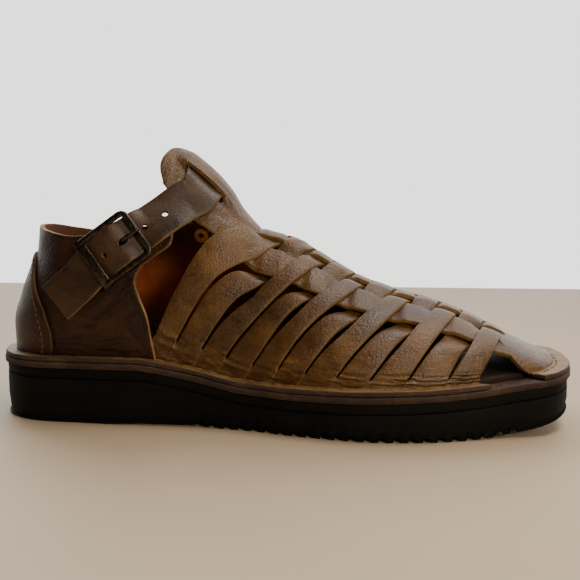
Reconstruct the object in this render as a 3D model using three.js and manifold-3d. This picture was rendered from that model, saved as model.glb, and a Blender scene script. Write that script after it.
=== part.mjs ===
// Huarache sandal, right shoe, in millimetres: +X to the toe, +Y to the inner side of the foot, +Z up.
// The origin is on the floor under the middle of the shoe's box. Tables are measured from the sole's axis.
import * as THREE from "three";
import Module from "manifold-3d";
import { mergeVertices } from "three/addons/utils/BufferGeometryUtils.js";

const wasm = await Module();
wasm.setup();

// Driving dimensions
const soleLength = 300;
const heelEnd = -soleLength / 2;
const toeEnd = soleLength / 2;
const heelRound = 36;
const toeRound = 28;
const sheetThick = 5;
const toeSpringStart = 90;
const toeSpringRate = 0.0026;
const archRise = 1.4;
const lugPitch = 7;
const lugGroove = 4;
const lugDepth = 2;
const welt = 3.2;
const weltOverhang = 1.2;
const leather = 2.6;
const gap = 0.3;
const flangeWidth = 6.8;
const insoleThick = 2.4;
const strapWidth = 21.5;
const strapThick = 2.3;
const counterThick = 1.8;
const counterGap = 0.8;
// The sole is wider outside its axis than inside, so the whole shoe is moved across to centre its box
const axisShift = 1.96;

// Half widths of the sole either side of its axis, before its ends are rounded
const soleTable = [
  { x: -150, outer: 34, inner: 34 },
  { x: -110, outer: 35.5, inner: 35.5 },
  { x: -80, outer: 37.5, inner: 36 },
  { x: -45, outer: 38, inner: 34.5 },
  { x: -15, outer: 41.5, inner: 36.5 },
  { x: 15, outer: 50, inner: 43 },
  { x: 50, outer: 56, inner: 50 },
  { x: 75, outer: 54, inner: 52 },
  { x: 100, outer: 46.5, inner: 51 },
  { x: 125, outer: 38.5, inner: 47.5 },
  { x: 150, outer: 37, inner: 47 },
];

// Top of the black sole and of the instep, along the shoe
const deckTable = [
  { x: -150, deck: 28 },
  { x: -72, deck: 28.2 },
  { x: -45, deck: 24.4 },
  { x: -12, deck: 18.3 },
  { x: 10, deck: 17.7 },
  { x: 60, deck: 18.8 },
  { x: 100, deck: 20.6 },
  { x: 125, deck: 23.4 },
  { x: 150, deck: 26.4 },
];

// The ridge of the last, and how full its sections are between ridge and feather
const lastTable = [
  { x: -66, ridge: 150, shift: 0, full: 0.02 },
  { x: -52, ridge: 140, shift: 0, full: 0.02 },
  { x: -36, ridge: 127, shift: 0, full: 0.02 },
  { x: -20, ridge: 108, shift: 1, full: -0.01 },
  { x: -9, ridge: 97, shift: 2, full: -0.03 },
  { x: 6, ridge: 92.5, shift: 3, full: -0.06 },
  { x: 17, ridge: 86.5, shift: 4, full: -0.06 },
  { x: 40, ridge: 72.8, shift: 5, full: -0.05 },
  { x: 60, ridge: 65.2, shift: 5, full: -0.03 },
  { x: 85, ridge: 58.2, shift: 5, full: 0 },
  { x: 108, ridge: 48.2, shift: 5, full: 0.04 },
  { x: 123, ridge: 41, shift: 5, full: 0.06 },
  { x: 135, ridge: 35.6, shift: 5, full: 0.05 },
  { x: 150, ridge: 32, shift: 5, full: 0 },
];

// Where the slits between the eleven cross strips meet the feather and the ridge
const slitTable = [
  { feather: -67, ridge: -12 },
  { feather: -55.5, ridge: 5 },
  { feather: -42, ridge: 17.5 },
  { feather: -29.3, ridge: 27.5 },
  { feather: -15.2, ridge: 39 },
  { feather: -1.3, ridge: 48 },
  { feather: 12.7, ridge: 61 },
  { feather: 28.8, ridge: 72 },
  { feather: 45.6, ridge: 84.5 },
  { feather: 64, ridge: 95.5 },
  { feather: 84, ridge: 107.5 },
  { feather: 100, ridge: 118 },
];

// The heel quarter against its seat: how far back it reaches and how wide it is at each height
const quarterTable = [
  { z: 28, reach: 0.965, width: 0.98 },
  { z: 37, reach: 0.972, width: 1.02 },
  { z: 49, reach: 0.972, width: 1.08 },
  { z: 64.5, reach: 0.918, width: 1.1 },
  { z: 85, reach: 0.832, width: 1.03 },
  { z: 103, reach: 0.81, width: 0.96 },
];

// Front edges of the quarter at each height: a forward tab under the strap outside, a longer one inside
const quarterFrontTable = [
  { z: 28, outer: -60, inner: -58 },
  { z: 41, outer: -62, inner: -57 },
  { z: 53, outer: -64, inner: -56 },
  { z: 63, outer: -68.5, inner: -55 },
  { z: 71, outer: -71.5, inner: -53 },
  { z: 77, outer: -69, inner: -49 },
  { z: 84, outer: -59, inner: -41 },
  { z: 90, outer: -50.5, inner: -35 },
  { z: 95, outer: -49.5, inner: -34 },
  { z: 99, outer: -54, inner: -40 },
];

// Top line of the quarter, by distance along the shoe
const collarTable = [
  { x: -150, z: 101.5 },
  { x: -131, z: 101.5 },
  { x: -119, z: 98.5 },
  { x: -103, z: 96 },
  { x: -90, z: 97 },
  { x: -70, z: 101 },
  { x: -50, z: 101 },
  { x: -30, z: 98 },
];

// Monotone cubic through one column of a table
function column(table, key, along = "x") {
  const xs = table.map((row) => row[along]);
  const ys = table.map((row) => row[key]);
  const slopes = xs.slice(1).map((x, i) => (ys[i + 1] - ys[i]) / (x - xs[i]));
  const tangents = xs.map((_, i) => {
    if (i === 0) return slopes[0];
    if (i === xs.length - 1) return slopes[i - 1];
    const product = slopes[i - 1] * slopes[i];
    return product <= 0 ? 0 : (2 * product) / (slopes[i - 1] + slopes[i]);
  });
  return (x) => {
    if (x <= xs[0]) return ys[0];
    if (x >= xs[xs.length - 1]) return ys[ys.length - 1];
    const i = xs.findIndex((edge) => edge > x) - 1;
    const span = xs[i + 1] - xs[i];
    const t = (x - xs[i]) / span;
    const rise = ys[i + 1] - ys[i];
    return (
      ys[i] +
      rise * t * t * (3 - 2 * t) +
      span * t * (1 - t) * (tangents[i] * (1 - t) - tangents[i + 1] * t)
    );
  };
}

const outerHalf = column(soleTable, "outer");
const innerHalf = column(soleTable, "inner");
const deckHeight = column(deckTable, "deck");
const ridgeHeight = column(lastTable, "ridge");
const ridgeShift = column(lastTable, "shift");
const fullness = column(lastTable, "full");
const quarterReach = column(quarterTable, "reach", "z");
const quarterWidth = column(quarterTable, "width", "z");
const quarterOuterFront = column(quarterFrontTable, "outer", "z");
const quarterInnerFront = column(quarterFrontTable, "inner", "z");
const collarHeight = column(collarTable, "z");

const clamp = (value, low, high) => Math.min(high, Math.max(low, value));
const smooth = (value) => {
  const t = clamp(value, 0, 1);
  return t * t * (3 - 2 * t);
};

// Rounds an outline off over a length d of 1 at its end
const endFactor = (d, power) => (d >= 1 ? 1 : Math.pow(1 - Math.pow(1 - clamp(d, 0, 1), power), 1 / power));

// Edge of the sole at x, on side -1 (outer) or 1 (inner), moved in by an inset
function edgeY(x, side, inset) {
  const outer = outerHalf(x);
  const inner = innerHalf(x);
  const half = (outer + inner) / 2 - inset;
  const heel = endFactor((x - heelEnd - inset) / heelRound, 2.2);
  const toe = endFactor((toeEnd - inset - x) / toeRound, 2.5);
  return (inner - outer) / 2 + side * half * heel * toe;
}

// A point on the inset outline: q runs from 0 at the heel along the outer side, 0.5 at the toe, back to 1
function outlinePoint(q, inset) {
  const along = (1 - Math.cos(2 * Math.PI * q)) / 2;
  const x = heelEnd + inset + along * (soleLength - 2 * inset);
  return [x, edgeY(x, q < 0.5 ? -1 : 1, inset)];
}

// The q at which the inset outline passes x on one side
function outlineAt(x, side, inset) {
  const along = (x - heelEnd - inset) / (soleLength - 2 * inset);
  const q = Math.acos(1 - 2 * along) / (2 * Math.PI);
  return side < 0 ? q : 1 - q;
}

const weltTop = (x) => deckHeight(x) + gap + welt;
const seatHeight = (x) => weltTop(x) + gap;
const tread = (x) => {
  const spring = x > toeSpringStart ? toeSpringRate * (x - toeSpringStart) ** 2 : 0;
  const arch = archRise * smooth((x + 88) / 24) * smooth((-22 - x) / 20);
  return spring + arch;
};

// Solids from vertices and triangles, turned to face out
function solidFrom(points, faces) {
  const geometry = new THREE.BufferGeometry();
  geometry.setAttribute("position", new THREE.Float32BufferAttribute(points.flat(), 3));
  geometry.setIndex(faces.flat());
  return solidOf(geometry);
}

function solidOf(source) {
  const geometry = source.clone();
  geometry.deleteAttribute("normal");
  geometry.deleteAttribute("uv");
  const merged = mergeVertices(geometry, 1e-4);
  const place = merged.attributes.position;
  const index = Uint32Array.from(merged.index.array);
  const corner = (i) => new THREE.Vector3().fromBufferAttribute(place, index[i]);
  let volume = 0;
  for (let i = 0; i < index.length; i += 3) {
    volume += corner(i).dot(corner(i + 1).cross(corner(i + 2)));
  }
  if (volume < 0) index.reverse();
  const mesh = new wasm.Mesh({
    numProp: 3,
    vertProperties: Float32Array.from(place.array),
    triVerts: index,
  });
  return new wasm.Manifold(mesh);
}

// A closed sheet between two faces, each given by a function of u and v from 0 to 1
function sheet(columns, rows, outside, inside) {
  const points = [];
  const faces = [];
  const at = (layer, i, j) => layer * (columns + 1) * (rows + 1) + j * (columns + 1) + i;
  const quad = (a, b, c, d) => faces.push([a, b, c], [a, c, d]);
  for (const face of [outside, inside]) {
    for (let j = 0; j <= rows; j += 1) {
      for (let i = 0; i <= columns; i += 1) points.push(face(i / columns, j / rows));
    }
  }
  for (let j = 0; j < rows; j += 1) {
    for (let i = 0; i < columns; i += 1) {
      quad(at(0, i, j), at(0, i + 1, j), at(0, i + 1, j + 1), at(0, i, j + 1));
      quad(at(1, i, j), at(1, i, j + 1), at(1, i + 1, j + 1), at(1, i + 1, j));
    }
  }
  for (let i = 0; i < columns; i += 1) {
    quad(at(0, i, 0), at(1, i, 0), at(1, i + 1, 0), at(0, i + 1, 0));
    quad(at(0, i, rows), at(0, i + 1, rows), at(1, i + 1, rows), at(1, i, rows));
  }
  for (let j = 0; j < rows; j += 1) {
    quad(at(0, 0, j), at(0, 0, j + 1), at(1, 0, j + 1), at(1, 0, j));
    quad(at(0, columns, j), at(1, columns, j), at(1, columns, j + 1), at(0, columns, j + 1));
  }
  return solidFrom(points, faces);
}

// A surface function of two parameters, with an offset along its outward normal
function offsetter(surface, step) {
  return (a, b, offset) => {
    const point = surface(a, b);
    const alongA = surface(a + step[0], b).sub(surface(a - step[0], b));
    const alongB = surface(a, b + step[1]).sub(surface(a, b - step[1]));
    const normal = alongA.cross(alongB).normalize();
    return point.addScaledVector(normal, offset).toArray();
  };
}

// The vamp and tongue lie on the last: t is 0 at the outer feather, 1 on the ridge, 2 at the inner feather
function lastPoint(x, t) {
  const side = t <= 1 ? -1 : 1;
  const turn = ((t <= 1 ? t : 2 - t) * Math.PI) / 2;
  const swell = 1 + fullness(x) * Math.sin(2 * turn) ** 2;
  const floor = seatHeight(x) + leather / 2;
  const top = Math.max(ridgeHeight(x), floor + 1);
  const foot = edgeY(x, side, flangeWidth + leather / 2) - ridgeShift(x);
  return new THREE.Vector3(
    x,
    ridgeShift(x) + foot * Math.cos(turn) * swell,
    floor + (top - floor) * Math.sin(turn) * swell,
  );
}

const onLast = offsetter(lastPoint, [0.2, 0.004]);

// The t found by walking a distance over the section from the ridge, outer side negative
function walk(x, distance) {
  const sign = Math.sign(distance);
  const step = 0.01;
  let t = 1;
  let left = Math.abs(distance);
  let here = lastPoint(x, t);
  while (left > 0 && t > 0 && t < 2) {
    const next = lastPoint(x, t + sign * step);
    const length = next.distanceTo(here);
    if (length >= left) return t + (sign * step * left) / length;
    left -= length;
    t += sign * step;
    here = next;
  }
  return t;
}

// The heel quarter wraps the seat: q follows the outline, z rises
const quarterPivot = -60;
function quarterPoint(q, z) {
  const [x, y] = outlinePoint(((q % 1) + 1) % 1, flangeWidth);
  const forward = smooth((x + 105) / 55) * smooth((z - 60) / 45);
  return new THREE.Vector3(
    quarterPivot + (x - quarterPivot) * quarterReach(z),
    y * (quarterWidth(z) - 0.12 * forward),
    z,
  );
}

// Offsets on the quarter are measured from its outer face
const fromWall = offsetter(quarterPoint, [0.002, 0.2]);
const onQuarter = (q, z, offset) => fromWall(q, z, leather + offset);

// Slabs of the sole: a bottom and a top height over the inset outline
function soleStations() {
  const even = Array.from({ length: 17 }, (_, i) => -112 + i * 14);
  const ends = [0.4, 1.6, 4, 8, 13.5, 20, 28];
  const all = [...even, ...ends.map((d) => heelEnd + d), ...ends.map((d) => toeEnd - d)];
  all.sort((a, b) => a - b);
  return all.filter((x, i) => i === 0 || x - all[i - 1] > 0.35);
}

function slab(inset, stations, bottom, top, chamfer) {
  const scale = (soleLength - 2 * inset) / soleLength;
  const points = [];
  const faces = [];
  for (const station of stations) {
    const x = station * scale;
    const low = bottom(x);
    const bevel = Math.min(chamfer, (top(x) - low) / 2);
    const section = [
      [edgeY(x, -1, inset), top(x)],
      [edgeY(x, -1, inset), low + bevel],
      [edgeY(x, -1, inset + bevel), low],
      [edgeY(x, 1, inset + bevel), low],
      [edgeY(x, 1, inset), low + bevel],
      [edgeY(x, 1, inset), top(x)],
    ];
    for (const [y, z] of section) points.push([x, y, z]);
  }
  const ring = 6;
  for (let s = 0; s + 1 < stations.length; s += 1) {
    for (let k = 0; k < ring; k += 1) {
      const a = s * ring + k;
      const b = s * ring + ((k + 1) % ring);
      faces.push([a, b, b + ring], [a, b + ring, a + ring]);
    }
  }
  const last = (stations.length - 1) * ring;
  for (let k = 1; k + 1 < ring; k += 1) {
    faces.push([0, k + 1, k], [last, last + k, last + k + 1]);
  }
  return solidFrom(points, faces);
}

// The wedge outsole carries cross grooves under the forefoot
const firstGroove = -36;
const grooveCount = 23;
const grooves = Array.from({ length: grooveCount }, (_, i) => firstGroove + i * lugPitch);
const grooveSlope = 0.7;

function grooveCut(x) {
  const near = grooves.find((g) => Math.abs(x - g) < lugGroove / 2);
  if (near === undefined) return 0;
  return Math.min(lugDepth, (lugGroove / 2 - Math.abs(x - near)) * (lugDepth / grooveSlope));
}

const wedgeTop = (x) => deckHeight(x) - sheetThick - gap;

function outsole() {
  const half = lugGroove / 2;
  const edges = grooves.flatMap((g) => [g - half, g - half + grooveSlope, g + half - grooveSlope, g + half]);
  const plain = soleStations().filter((x) => grooves.every((g) => Math.abs(x - g) > half + 0.4));
  const stations = [...plain, ...edges].sort((a, b) => a - b);
  const kept = stations.filter((x, i) => i === 0 || x - stations[i - 1] > 0.3);
  return slab(0, kept, (x) => tread(x) + grooveCut(x), wedgeTop, 1.6);
}

const midsole = () => slab(0, soleStations(), (x) => deckHeight(x) - sheetThick, deckHeight, 0.01);
const leatherMidsole = () =>
  slab(-weltOverhang, soleStations(), (x) => deckHeight(x) + gap, weltTop, 0.01);
const insoleInset = flangeWidth + leather + 1.4;
const insole = () => slab(insoleInset, soleStations(), seatHeight, (x) => seatHeight(x) + insoleThick, 0.01);

// The out-turned edge of the upper, stitched down around the sole
function flange(from, to, steps) {
  const outerInset = -weltOverhang + 0.4;
  const innerInset = flangeWidth + leather;
  const place = (u, v, height) => {
    const q = from + (to - from) * u;
    const [x, y] = outlinePoint(((q % 1) + 1) % 1, outerInset + (innerInset - outerInset) * v);
    return [x, y, seatHeight(x) + height];
  };
  return sheet(steps, 1, (u, v) => place(u, v, leather), (u, v) => place(u, v, 0));
}

// Slit i at t, leaning forward by the same curve on both sides
const slitBow = 0.09;
function slitAt(i, t) {
  const rise = t <= 1 ? t : 2 - t;
  const share = Math.sin((Math.PI * rise) / 2) - slitBow * Math.sin(Math.PI * rise);
  return slitTable[i].feather + (slitTable[i].ridge - slitTable[i].feather) * share;
}

// Half the weave's depth, and where the side straps lie from the ridge
const weaveDepth = 0.9;
const sideStrapTable = [
  { x: -30, distance: 23 },
  { x: 0, distance: 24 },
  { x: 20, distance: 26 },
  { x: 45, distance: 26 },
  { x: 92, distance: 25 },
  { x: 125, distance: 25 },
];
const sideStrapDistance = column(sideStrapTable, "distance");
const strapHalf = 8;

// Rows across a strip, closer together near the ridge
const crossRows = 18;
const crossShare = (v) => 1 + Math.sign(v - 0.5) * Math.abs(2 * v - 1) ** 1.25;

// A cross strip waves over and under the three long straps
function stripOffset(i, t) {
  const sign = i % 2 === 0 ? 1 : -1;
  const middle = (slitAt(i, t) + slitAt(i + 1, t)) / 2;
  const outer = walk(middle, -sideStrapDistance(middle));
  const inner = walk(middle, sideStrapDistance(middle));
  if (t < outer) return sign * weaveDepth * smooth((t - 0.1) / (outer - 0.1));
  if (t > inner) return sign * weaveDepth * smooth((1.9 - t) / (1.9 - inner));
  const phase = t < 1 ? (t - outer) / (1 - outer) : (inner - t) / (inner - 1);
  return sign * weaveDepth * Math.cos(Math.PI * phase);
}

function crossStrip(i) {
  const opening = (t) => 0.45 + 1.1 * Math.sin((Math.PI * clamp(t <= 1 ? t : 2 - t, 0, 1)) / 1.1) ** 2;
  const place = (u, v, face) => {
    const t = crossShare(v);
    const from = slitAt(i, t) + opening(t);
    const to = slitAt(i + 1, t) - opening(t);
    return onLast(from + (to - from) * u, t, stripOffset(i, t) + (face * leather) / 2);
  };
  return sheet(1, crossRows, (u, v) => place(u, v, 1), (u, v) => place(u, v, -1));
}

// The band along the feather that the strips are cut from
function featherBand(side) {
  const height = 0.09;
  const place = (u, v, face) => {
    const t = side < 0 ? v * height : 2 - v * height;
    const start = slitAt(0, t) + 0.6;
    const end = slitAt(slitTable.length - 1, t) - 0.6;
    return onLast(start + (end - start) * u, t, (face * leather) / 2);
  };
  return sheet(11, 1, (u, v) => place(u, v, 1), (u, v) => place(u, v, -1));
}

// Where x stands among the strips on the line t: 0 on the first strip's middle, 1 on the next
function stripPhase(x, t) {
  const middle = (i) => (slitAt(i, t) + slitAt(i + 1, t)) / 2;
  for (let i = 0; i < slitTable.length - 2; i += 1) {
    if (x < middle(i + 1)) return i + (x - middle(i)) / (middle(i + 1) - middle(i));
  }
  return slitTable.length - 2;
}

// The long straps wave against the strips: sign -1 for the side straps, 1 for the middle one.
// Their rows stand on the strips' middles and on the slits between them.
function longStrap(centre, sign) {
  const lowest = -16;
  const highest = 118;
  const stops = [lowest];
  for (let x = lowest; x < highest; x += 0.5) {
    const before = 2 * stripPhase(x, walk(x, centre(x)));
    const after = 2 * stripPhase(x + 0.5, walk(x + 0.5, centre(x + 0.5)));
    if (Math.floor(before) !== Math.floor(after) && x > lowest + 3 && x < highest - 3) stops.push(x + 0.25);
  }
  stops.push(highest);
  const place = (u, v, face) => {
    const x = stops[Math.round(v * (stops.length - 1))];
    const t = walk(x, centre(x) + (u - 0.5) * 2 * strapHalf);
    const phase = stripPhase(x, walk(x, centre(x)));
    const wave = sign * weaveDepth * Math.cos(Math.PI * phase) * smooth((phase + 1) / 0.6);
    return onLast(x, t, wave + (face * leather) / 2);
  };
  return sheet(1, stops.length - 1, (u, v) => place(u, v, 1), (u, v) => place(u, v, -1));
}

// The toe piece fans out from the long straps to the feather round the toe
const toeBack = (t) => 110 + 17.4 * (1 - Math.sin((Math.PI * Math.min(t, 2 - t)) / 2)) ** 1.2;

function toePiece() {
  const end = toeEnd - flangeWidth - leather / 2 - 0.6;
  const place = (u, v, face) => {
    const t = 2 * u;
    const from = toeBack(t);
    return onLast(from + (end - from) * v, t, (face * leather) / 2);
  };
  return sheet(14, 6, (u, v) => place(u, v, 1), (u, v) => place(u, v, -1));
}

// The tongue: a tab as wide as its edge table, with two slots that leave a bridge over the ankle strap
const tongueTable = [
  { x: -60, half: 29.5 },
  { x: -50, half: 35 },
  { x: -41.6, half: 37 },
  { x: -23.8, half: 32.5 },
  { x: -12, half: 30.5 },
];
const tongueBackTable = [
  { distance: 0, back: -52 },
  { distance: 10.7, back: -57.9 },
  { distance: 22, back: -60.9 },
  { distance: 29.7, back: -58.8 },
];
const tongueFront = -12;
const tongueHalf = column(tongueTable, "half");
const tongueBack = column(tongueBackTable, "back", "distance");
const bridgeHalf = 10.5;
const slotWidth = 5;
const slotBack = -47;
const slotFront = -28.5;
const bridgeLift = 1.75;

// The slots follow the strap, so their ends lean back to the sides
const slotShift = (distance) => -0.1 * Math.abs(distance);

function tongueOffset(x, distance) {
  const within = x - slotShift(distance);
  const inSlot = smooth((within - slotBack + 7) / 7) * smooth((slotFront + 9 - within) / 9);
  const side = smooth((Math.abs(distance) - bridgeHalf) / slotWidth);
  return bridgeLift * (1 - 2 * side) * inSlot;
}

function tongue() {
  const stops = [0, 4, 7.5, bridgeHalf, bridgeHalf + slotWidth, 21, 30];
  const columns = 2 * stops.length - 2;
  const place = (u, v, face) => {
    const step = Math.round(u * columns) - stops.length + 1;
    const stop = stops[Math.abs(step)];
    const outermost = Math.abs(step) === stops.length - 1;
    const from = tongueBack(stop);
    const x = from + (tongueFront - from) * v;
    const distance = Math.sign(step) * (outermost ? tongueHalf(x) : stop);
    return onLast(x, walk(x, distance), tongueOffset(x, distance) + (face * leather) / 2);
  };
  return sheet(columns, 12, (u, v) => place(u, v, 1), (u, v) => place(u, v, -1));
}

function slotCutter(side) {
  const place = (u, v, offset) => {
    const distance = side * (bridgeHalf + slotWidth * u);
    const x = slotBack + (slotFront - slotBack) * v + slotShift(distance);
    return onLast(x, walk(x, distance), offset);
  };
  return sheet(1, 4, (u, v) => place(u, v, 6), (u, v) => place(u, v, -6));
}

// The q of the quarter at x on one side, at height z
function quarterAt(x, side, z) {
  return outlineAt(quarterPivot + (x - quarterPivot) / quarterReach(z), side, flangeWidth);
}

// The quarter, as one wall from its outer front edge round the heel to the inner one
function quarter() {
  const place = (u, v, offset) => {
    const bottom = 30;
    const guess = bottom + (98 - bottom) * v;
    const outerFront = outlineAt(quarterOuterFront(guess), -1, flangeWidth);
    const innerFront = 1 - outlineAt(quarterInnerFront(guess), 1, flangeWidth);
    const q = -innerFront + (outerFront + innerFront) * u;
    const point = quarterPoint(q, guess);
    const low = seatHeight(point.x) + 0.8;
    const z = low + (collarHeight(point.x) - low) * v;
    return onQuarter(q, z, offset);
  };
  return sheet(26, 8, (u, v) => place(u, v, 0), (u, v) => place(u, v, -leather));
}

// The heel counter: an overlaid patch up the back, on the quarter's own surface.
// Its reach is a share of the outline.
const counterTable = [
  { z: 34.8, reach: 0.096 },
  { z: 38, reach: 0.1 },
  { z: 45, reach: 0.1 },
  { z: 56, reach: 0.092 },
  { z: 64, reach: 0.078 },
  { z: 75, reach: 0.055 },
  { z: 82, reach: 0.038 },
  { z: 86, reach: 0.026 },
];
const counterTop = 86;
const counterReach = column(counterTable, "reach", "z");

function heelCounter() {
  const bottom = seatHeight(heelEnd) + leather + gap + 0.6;
  const place = (u, v, offset) => {
    const across = 2 * u - 1;
    const top = counterTop - 3.5 * across ** 4;
    const z = bottom + (top - bottom) * v;
    return onQuarter(counterReach(z) * across, z, offset);
  };
  return sheet(14, 8, (u, v) => place(u, v, counterGap + counterThick), (u, v) => place(u, v, counterGap));
}

// Local axes of the buckle on the outer quarter: back along the strap, across it, and out
const buckleAt = { x: -79, z: 89.5 };
const strapFall = 37.4;
const buckleFrame = (() => {
  const q = quarterAt(buckleAt.x, -1, buckleAt.z);
  const centre = new THREE.Vector3(...onQuarter(q, buckleAt.z, 0));
  const out = new THREE.Vector3(...onQuarter(q, buckleAt.z, 1)).sub(centre);
  const fall = THREE.MathUtils.degToRad(strapFall);
  const back = new THREE.Vector3(-Math.cos(fall), 0, -Math.sin(fall));
  back.addScaledVector(out, -back.dot(out)).normalize();
  const across = new THREE.Vector3().crossVectors(out, back);
  return { centre, out, back, across };
})();

// Point d back along the strap, w across and o out from the quarter
function atBuckle(d, w, o) {
  const { centre, out, back, across } = buckleFrame;
  return centre.clone().addScaledVector(back, d).addScaledVector(across, w).addScaledVector(out, o);
}

// A box in the buckle's axes, with its four outline corners cut
function buckleBox([d0, d1], [w0, w1], [o0, o1], corner) {
  const outline = [
    [d0 + corner, w0],
    [d1 - corner, w0],
    [d1, w0 + corner],
    [d1, w1 - corner],
    [d1 - corner, w1],
    [d0 + corner, w1],
    [d0, w1 - corner],
    [d0, w0 + corner],
  ];
  const points = [o0, o1].flatMap((o) => outline.map(([d, w]) => atBuckle(d, w, o).toArray()));
  const faces = [];
  for (let k = 0; k < 8; k += 1) {
    const next = (k + 1) % 8;
    faces.push([k, next, next + 8], [k, next + 8, k + 8]);
    if (k > 0 && k < 7) faces.push([0, k + 1, k], [8, 8 + k, 9 + k]);
  }
  return solidFrom(points, faces);
}

// A round rod through the given points
function rod(centres, radius, around) {
  const points = [];
  const faces = [];
  centres.forEach((centre, i) => {
    const before = centres[Math.max(i - 1, 0)];
    const after = centres[Math.min(i + 1, centres.length - 1)];
    const along = after.clone().sub(before).normalize();
    const side = new THREE.Vector3().crossVectors(buckleFrame.across, along).normalize();
    const up = new THREE.Vector3().crossVectors(along, side);
    if (Math.abs(along.dot(buckleFrame.across)) > 0.9) {
      side.copy(buckleFrame.out);
      up.crossVectors(along, side);
    }
    for (let k = 0; k < around; k += 1) {
      const angle = (2 * Math.PI * k) / around;
      const spoke = side.clone().multiplyScalar(Math.cos(angle)).addScaledVector(up, Math.sin(angle));
      points.push(centre.clone().addScaledVector(spoke, radius).toArray());
    }
  });
  for (let i = 0; i + 1 < centres.length; i += 1) {
    for (let k = 0; k < around; k += 1) {
      const a = i * around + k;
      const b = i * around + ((k + 1) % around);
      faces.push([a, b, b + around], [a, b + around, a + around]);
    }
  }
  const last = (centres.length - 1) * around;
  for (let k = 1; k + 1 < around; k += 1) faces.push([0, k + 1, k], [last, last + k, last + k + 1]);
  return solidFrom(points, faces);
}

// Square frame with a rounded front bar, a centre bar set lower, and a plain rear plate
const frameHalf = 13.6;
const frameBar = 2.4;
const frontBar = 3.5;
const frameLow = 4.6;
const frameHigh = 7.4;
const plateLength = 5;
const plateHigh = 6.2;
const barHeight = 2.8;
const barRadius = 1;

function buckleFrameSolid() {
  const inner = frameHalf - frameBar;
  const rear = frameHalf - plateLength / 2;
  const frontEdge = -frameHalf - 1.5;
  const height = [frameLow, frameHigh];
  const front = buckleBox([frontEdge, frontEdge + frontBar], [-frameHalf, frameHalf], height, 1.4);
  const plateSides = [-frameHalf - 0.4, frameHalf + 0.4];
  const plate = buckleBox([rear, rear + plateLength], plateSides, [frameLow, plateHigh], 0.6);
  let frame = front.add(plate);
  for (const side of [-1, 1]) {
    const across = side < 0 ? [-frameHalf, -inner] : [inner, frameHalf];
    frame = frame.add(buckleBox([-frameHalf, rear + 1], across, height, 0.3));
    frame = frame.add(buckleBox([-1.6, 1.6], across, [barHeight - 1.2, frameLow + 1], 0.3));
  }
  const ends = [-1, 1].map((side) => atBuckle(0, side * (inner + 1), barHeight));
  return frame.add(rod(ends, barRadius, 8));
}

// The prong hooks round the centre bar, comes up through the strap and rests on the front bar
function buckleProng() {
  const ringOuter = 2.35;
  const ringInner = 1.35;
  const half = 1.1;
  const disc = (radius, width) => {
    const centres = [-width, width].map((w) => atBuckle(0, w, barHeight));
    return rod(centres, radius, 12);
  };
  const path = [
    [-1.9, barHeight + 0.2],
    [-4.6, 4.9],
    [-6.5, 7.5],
    [-9, 8.75],
    [-frameHalf - 2.4, 8.75],
  ];
  const shaft = rod(path.map(([d, o]) => atBuckle(d, 0, o)), 0.95, 8);
  return disc(ringOuter, half).add(shaft).subtract(disc(ringInner, half + 1));
}

// Leather keepers that hold the centre bar to the quarter, one each side of the prong
function keeper(side) {
  const path = [
    [-6, -0.6],
    [-4.6, 0.9],
    [-3, 3.4],
    [-1.3, 4.75],
    [1.3, 4.75],
    [3, 3.4],
    [4.6, 0.9],
    [6, -0.6],
  ];
  const thick = 1.3;
  const place = (u, v, face) => {
    const [d, o] = path[Math.round(v * (path.length - 1))];
    const lean = Math.atan2(Math.abs(d) > 1.5 ? 1.4 * Math.sign(d) : 0, 1);
    const w = side * (1.6 + 7.4 * u);
    const step = (face * thick) / 2;
    return atBuckle(d + Math.sin(lean) * step, w, o + Math.cos(lean) * step).toArray();
  };
  return sheet(1, path.length - 1, (u, v) => place(u, v, 1), (u, v) => place(u, v, -1));
}

// The ankle strap's centre line, from its free end through the buckle and the slots to the inner rivet.
// Each row lies a given height off a surface, with its width turned down from the level by a tilt.
const strapLift = 1.15;
const strapDip = 2.1;
const rivetAt = { x: -48, z: 94 };
const innerSeat = 0.7;

function strapRow(surface, height, tilt) {
  const point = surface(height);
  const out = surface(height + 1).sub(point).normalize();
  const angle = THREE.MathUtils.degToRad(tilt);
  const across = new THREE.Vector3(Math.cos(angle), 0, -Math.sin(angle));
  across.addScaledVector(out, -across.dot(out)).normalize();
  return { point, across };
}

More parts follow.
